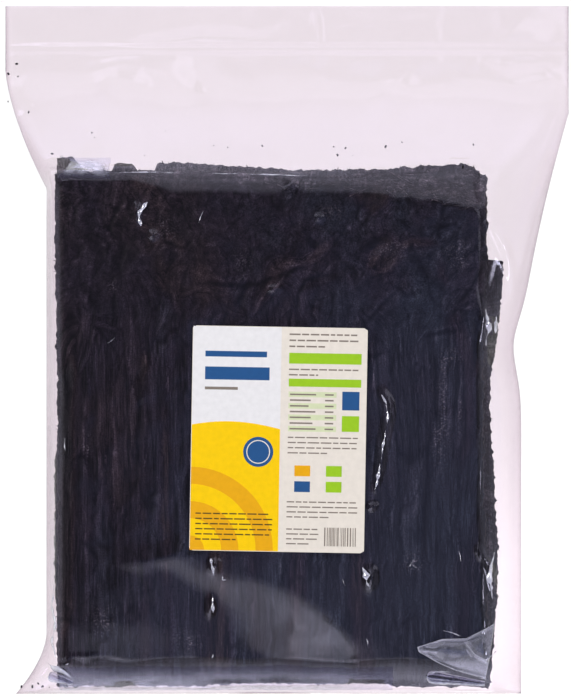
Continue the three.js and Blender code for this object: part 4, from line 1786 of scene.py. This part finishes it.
# Patches of the ceiling that show in sloping film, the wider ones as haze: way to each, reach in degrees and
# brightness
SOFT_PATCHES = (
    ((-0.19, -0.27, 0.94), 9.0, 1.2),
    ((-0.06, -0.27, 0.96), 8.0, 0.7),
    ((-0.16, -0.42, 0.89), 10.0, 0.9),
    ((0.0, -0.45, 0.89), 16.0, 0.3),
    ((0.1, -0.13, 0.98), 11.0, 0.17),
    ((-0.05, -0.18, 0.98), 6.0, 0.35),
    ((0.2, 0.1, 0.97), 6.0, 1.0),
    ((-0.18, 0.22, 0.96), 6.0, 1.0),
    ((0.05, 0.5, 0.86), 24.0, 0.7),
    ((-0.45, 0.45, 0.77), 6.0, 2.0),
    ((0.5, -0.5, 0.71), 7.0, 8.0),
    ((0.69, -0.15, 0.71), 6.0, 12.0),
)
# Faint blue from a window overhead: way to each patch, reach in degrees and brightness
SKY_PATCHES = (((0.0, 0.0, 1.0), 24.0, 0.025), ((0.09, -0.1, 0.98), 10.0, 0.15))
WALL_COLOUR = "E6E4FF"
SKY_COLOUR = "5A86FF"
# Brightness of the ceiling and of each wall
CEILING = 0.04
SIDE_WALLS = 1.1
FRONT_WALL = 3.0
REAR_WALL = 2.6
# Light from above on each kind of piece: brightness, and spread in degrees
FLOOR_FILL = (3.65, 0.0)
LABEL_FILL = (2.3, 0.0)
SHEET_FILL = (0.85, 120.0)
# Lamps that lift the floor beside the lower half of the pack: place in metres, and power in watts
FLOOR_LAMPS = (
    ((0.18, -0.15, 0.1), 0.12),
    ((0.18, -0.22, 0.1), 0.1),
    ((0.08, -0.27, 0.08), 0.06),
    ((-0.1, -0.27, 0.08), 0.06),
)
# Half the floor's side, and how far the camera sees, in metres
FLOOR_HALF = 14.0
CAMERA_REACH = 60.0
# Layers of film that a ray may pass
FILM_PASSES = 24


def floor_piece():
    """A wide pale floor under the pack."""
    mesh = bpy.data.meshes.new("floor")
    corners = [(sx * FLOOR_HALF, sy * FLOOR_HALF, 0.0) for sx, sy in ((-1, -1), (1, -1), (1, 1), (-1, 1))]
    mesh.from_pydata(corners, [], [[0, 1, 2, 3]])
    mesh.materials.append(floor_material())
    made = placed("floor", mesh)
    return made


def strip_light(name, place, width, length, brightness):
    """A rectangular light that faces the pack, with its power worked out from its brightness."""
    lamp = bpy.data.lights.new(name, "AREA")
    lamp.shape = "RECTANGLE"
    lamp.size = width
    lamp.size_y = length
    lamp.energy = brightness * math.pi * width * length
    turn = Vector(place).to_track_quat("Z", "Y").to_euler()
    return placed(name, lamp, location=place, rotation_euler=turn, visible_camera=False)


def receivers(name, pieces, state):
    """A collection of pieces that a light falls on alone, or leaves out."""
    made = bpy.data.collections.get(name) or bpy.data.collections.new(name)
    for each in pieces:
        made.objects.link(each)
    for held in made.collection_objects:
        held.light_linking.link_state = state
    return made


def fill_light(name, fill, pieces, shadow):
    """Even light from above on some pieces alone, so that each kind is as bright as daylight makes it."""
    brightness, spread = fill
    lamp = bpy.data.lights.new(name, "SUN")
    lamp.energy = brightness
    lamp.angle = math.radians(spread)
    lamp.use_shadow = shadow
    made = placed(name, lamp, visible_glossy=False)
    made.light_linking.receiver_collection = receivers(name, pieces, "INCLUDE")


def floor_lamp(place, power):
    """A small lamp that only the floor gets light from."""
    lamp = bpy.data.lights.new("floor_lamp", "POINT")
    lamp.energy = power
    lamp.use_shadow = False
    made = placed("floor_lamp", lamp, location=place, visible_camera=False, visible_glossy=False)
    made.light_linking.receiver_collection = receivers("floor_fill", (), "INCLUDE")


def studio_world():
    """Walls brightest low down and in front, a dark ceiling with soft patches and a faint sky, for gloss."""
    world = bpy.data.worlds.new("studio_walls")
    world.use_nodes = True
    world.cycles_visibility.diffuse = False
    world.node_tree.nodes.clear()
    add = partial(node, world.node_tree)
    way = add("TexCoord").outputs["Generated"]
    parts = add("SeparateXYZ", {0: way}).outputs
    glow = None
    for part, *levels, kind in (
        ("Y", -0.8, -0.3, FRONT_WALL, SIDE_WALLS, "MULTIPLY"),
        ("Y", 0.3, 0.8, 0.0, REAR_WALL - SIDE_WALLS, "ADD"),
        ("Z", 0.0, 0.97, 1.0, 0.0, "MULTIPLY"),
    ):
        slope = add("MapRange", {"Value": parts[part], **spans(*levels)})
        glow = slope if glow is None else add("Math", {0: glow, 1: slope}, operation=kind)
    glows = {WALL_COLOUR: add("Math", {0: glow, 1: CEILING}, operation="ADD"), SKY_COLOUR: 0.0}
    for colour, patches in ((WALL_COLOUR, SOFT_PATCHES), (SKY_COLOUR, SKY_PATCHES)):
        for toward, degrees, brightness in patches:
            near = add("VectorMath", {0: way, 1: Vector(toward).normalized()}, operation="DOT_PRODUCT")
            outer, inner = (math.cos(math.radians(angle)) for angle in (degrees, degrees / 2))
            levels = spans(outer, inner, 0.0, brightness)
            patch = add("MapRange", {"Value": near, **levels}, interpolation_type="SMOOTHSTEP")
            glows[colour] = add("Math", {0: glows[colour], 1: patch}, operation="ADD")
    walls, sky = (
        add("Background", {"Strength": strength, "Color": opaque(linear(colour))})
        for colour, strength in glows.items()
    )
    add("OutputWorld", {"Surface": add("AddShader", {0: walls, 1: sky})})
    bpy.context.scene.world = world


def camera():
    """A long lens straight over the pack, framed as the picture is."""
    data = bpy.data.cameras.new("camera")
    data.sensor_width = SENSOR_MM
    data.lens = CAMERA_HEIGHT / FLOOR_MM_PER_PIXEL * SENSOR_MM / PICTURE_HEIGHT
    data.clip_end = CAMERA_REACH
    over = (CAMERA_OFFSET[0] * MM, CAMERA_OFFSET[1] * MM, CAMERA_HEIGHT * MM)
    bpy.context.scene.camera = placed("camera", data, location=over)


# Operators and panel


class WAKAME_OT_press_sheets(bpy.types.Operator):
    """Make the three bundles of pressed sheets behind the face"""

    bl_idname = "wakame.press_sheets"
    bl_label = "Press Sheets"

    def execute(self, context):
        for n, bundle in enumerate((REAR, MIDDLE, FRONT)):
            bundle_sheets(bundle, 1000 * (n + 1))
        return {"FINISHED"}


class WAKAME_OT_lay_face(bpy.types.Operator):
    """Make the face sheet with its overlapping fronds"""

    bl_idname = "wakame.lay_face"
    bl_label = "Lay Face Sheet"

    def execute(self, context):
        face_sheet()
        return {"FINISHED"}


class WAKAME_OT_scatter_bits(bpy.types.Operator):
    """Scatter torn strands on the sheets and loose crumbs in the bag"""

    bl_idname = "wakame.scatter_bits"
    bl_label = "Scatter Bits"

    def execute(self, context):
        frays()
        crumbs()
        return {"FINISHED"}


class WAKAME_OT_wrap_film(bpy.types.Operator):
    """Wrap the sheets in clear film"""

    bl_idname = "wakame.wrap_film"
    bl_label = "Wrap Film"

    def execute(self, context):
        receivers("strip_lights", (bag_film(),), "EXCLUDE")
        return {"FINISHED"}


class WAKAME_OT_fold_corners(bpy.types.Operator):
    """Fold, curl, stretch and pleat the film, and light it with the sheets"""

    bl_idname = "wakame.fold_corners"
    bl_label = "Fold Corners"

    def execute(self, context):
        folds = film_folds()
        receivers("strip_lights", (folds,), "EXCLUDE")
        sheets = [each for each in context.scene.objects if each.name.startswith("wakame_")]
        fill_light("sheet_fill", SHEET_FILL, (*sheets, folds, film_pleats()), True)
        return {"FINISHED"}


class WAKAME_OT_stick_label(bpy.types.Operator):
    """Stick the printed label on the film and light it"""

    bl_idname = "wakame.stick_label"
    bl_label = "Stick Label"

    def execute(self, context):
        fill_light("label_fill", LABEL_FILL, (label_paper(), label_print()), False)
        return {"FINISHED"}


class WAKAME_OT_set_stage(bpy.types.Operator):
    """Set up the floor, the lights and the camera"""

    bl_idname = "wakame.set_stage"
    bl_label = "Set Stage"

    def execute(self, context):
        floor = floor_piece()
        fill_light("floor_fill", FLOOR_FILL, (floor,), False)
        for place, power in FLOOR_LAMPS:
            floor_lamp(place, power)
        beside_floor = receivers("strip_lights", (floor,), "EXCLUDE")
        for strip in STRIP_LIGHTS:
            strip_light(*strip).light_linking.receiver_collection = beside_floor
        studio_world()
        camera()
        context.scene.view_settings.view_transform = "Standard"
        context.scene.cycles.transparent_max_bounces = FILM_PASSES
        return {"FINISHED"}


OPERATORS = (
    WAKAME_OT_press_sheets,
    WAKAME_OT_lay_face,
    WAKAME_OT_scatter_bits,
    WAKAME_OT_wrap_film,
    WAKAME_OT_fold_corners,
    WAKAME_OT_stick_label,
    WAKAME_OT_set_stage,
)


class WAKAME_PT_pack(bpy.types.Panel):
    """Sizes, colours and steps of the pack"""

    bl_label = "Dried Wakame Bag"
    bl_idname = "WAKAME_PT_pack"
    bl_space_type = "VIEW_3D"
    bl_region_type = "UI"
    bl_category = "Wakame"

    def draw(self, context):
        for settings in (context.scene.wakame_sizes, context.scene.wakame_colours):
            for key in settings.__annotations__:
                self.layout.prop(settings, key)
        for step in OPERATORS:
            self.layout.operator(step.bl_idname)


CLASSES = (WakameSizes, WakameColours, *OPERATORS, WAKAME_PT_pack)


def register():
    for each in CLASSES:
        bpy.utils.register_class(each)
    bpy.types.Scene.wakame_sizes = PointerProperty(type=WakameSizes)
    bpy.types.Scene.wakame_colours = PointerProperty(type=WakameColours)


def unregister():
    del bpy.types.Scene.wakame_colours
    del bpy.types.Scene.wakame_sizes
    for each in reversed(CLASSES):
        bpy.utils.unregister_class(each)


def main():
    register()
    bpy.ops.wakame.set_stage()
    bpy.ops.wakame.press_sheets()
    bpy.ops.wakame.lay_face()
    bpy.ops.wakame.scatter_bits()
    bpy.ops.wakame.wrap_film()
    bpy.ops.wakame.fold_corners()
    bpy.ops.wakame.stick_label()


if __name__ == "__main__":
    main()
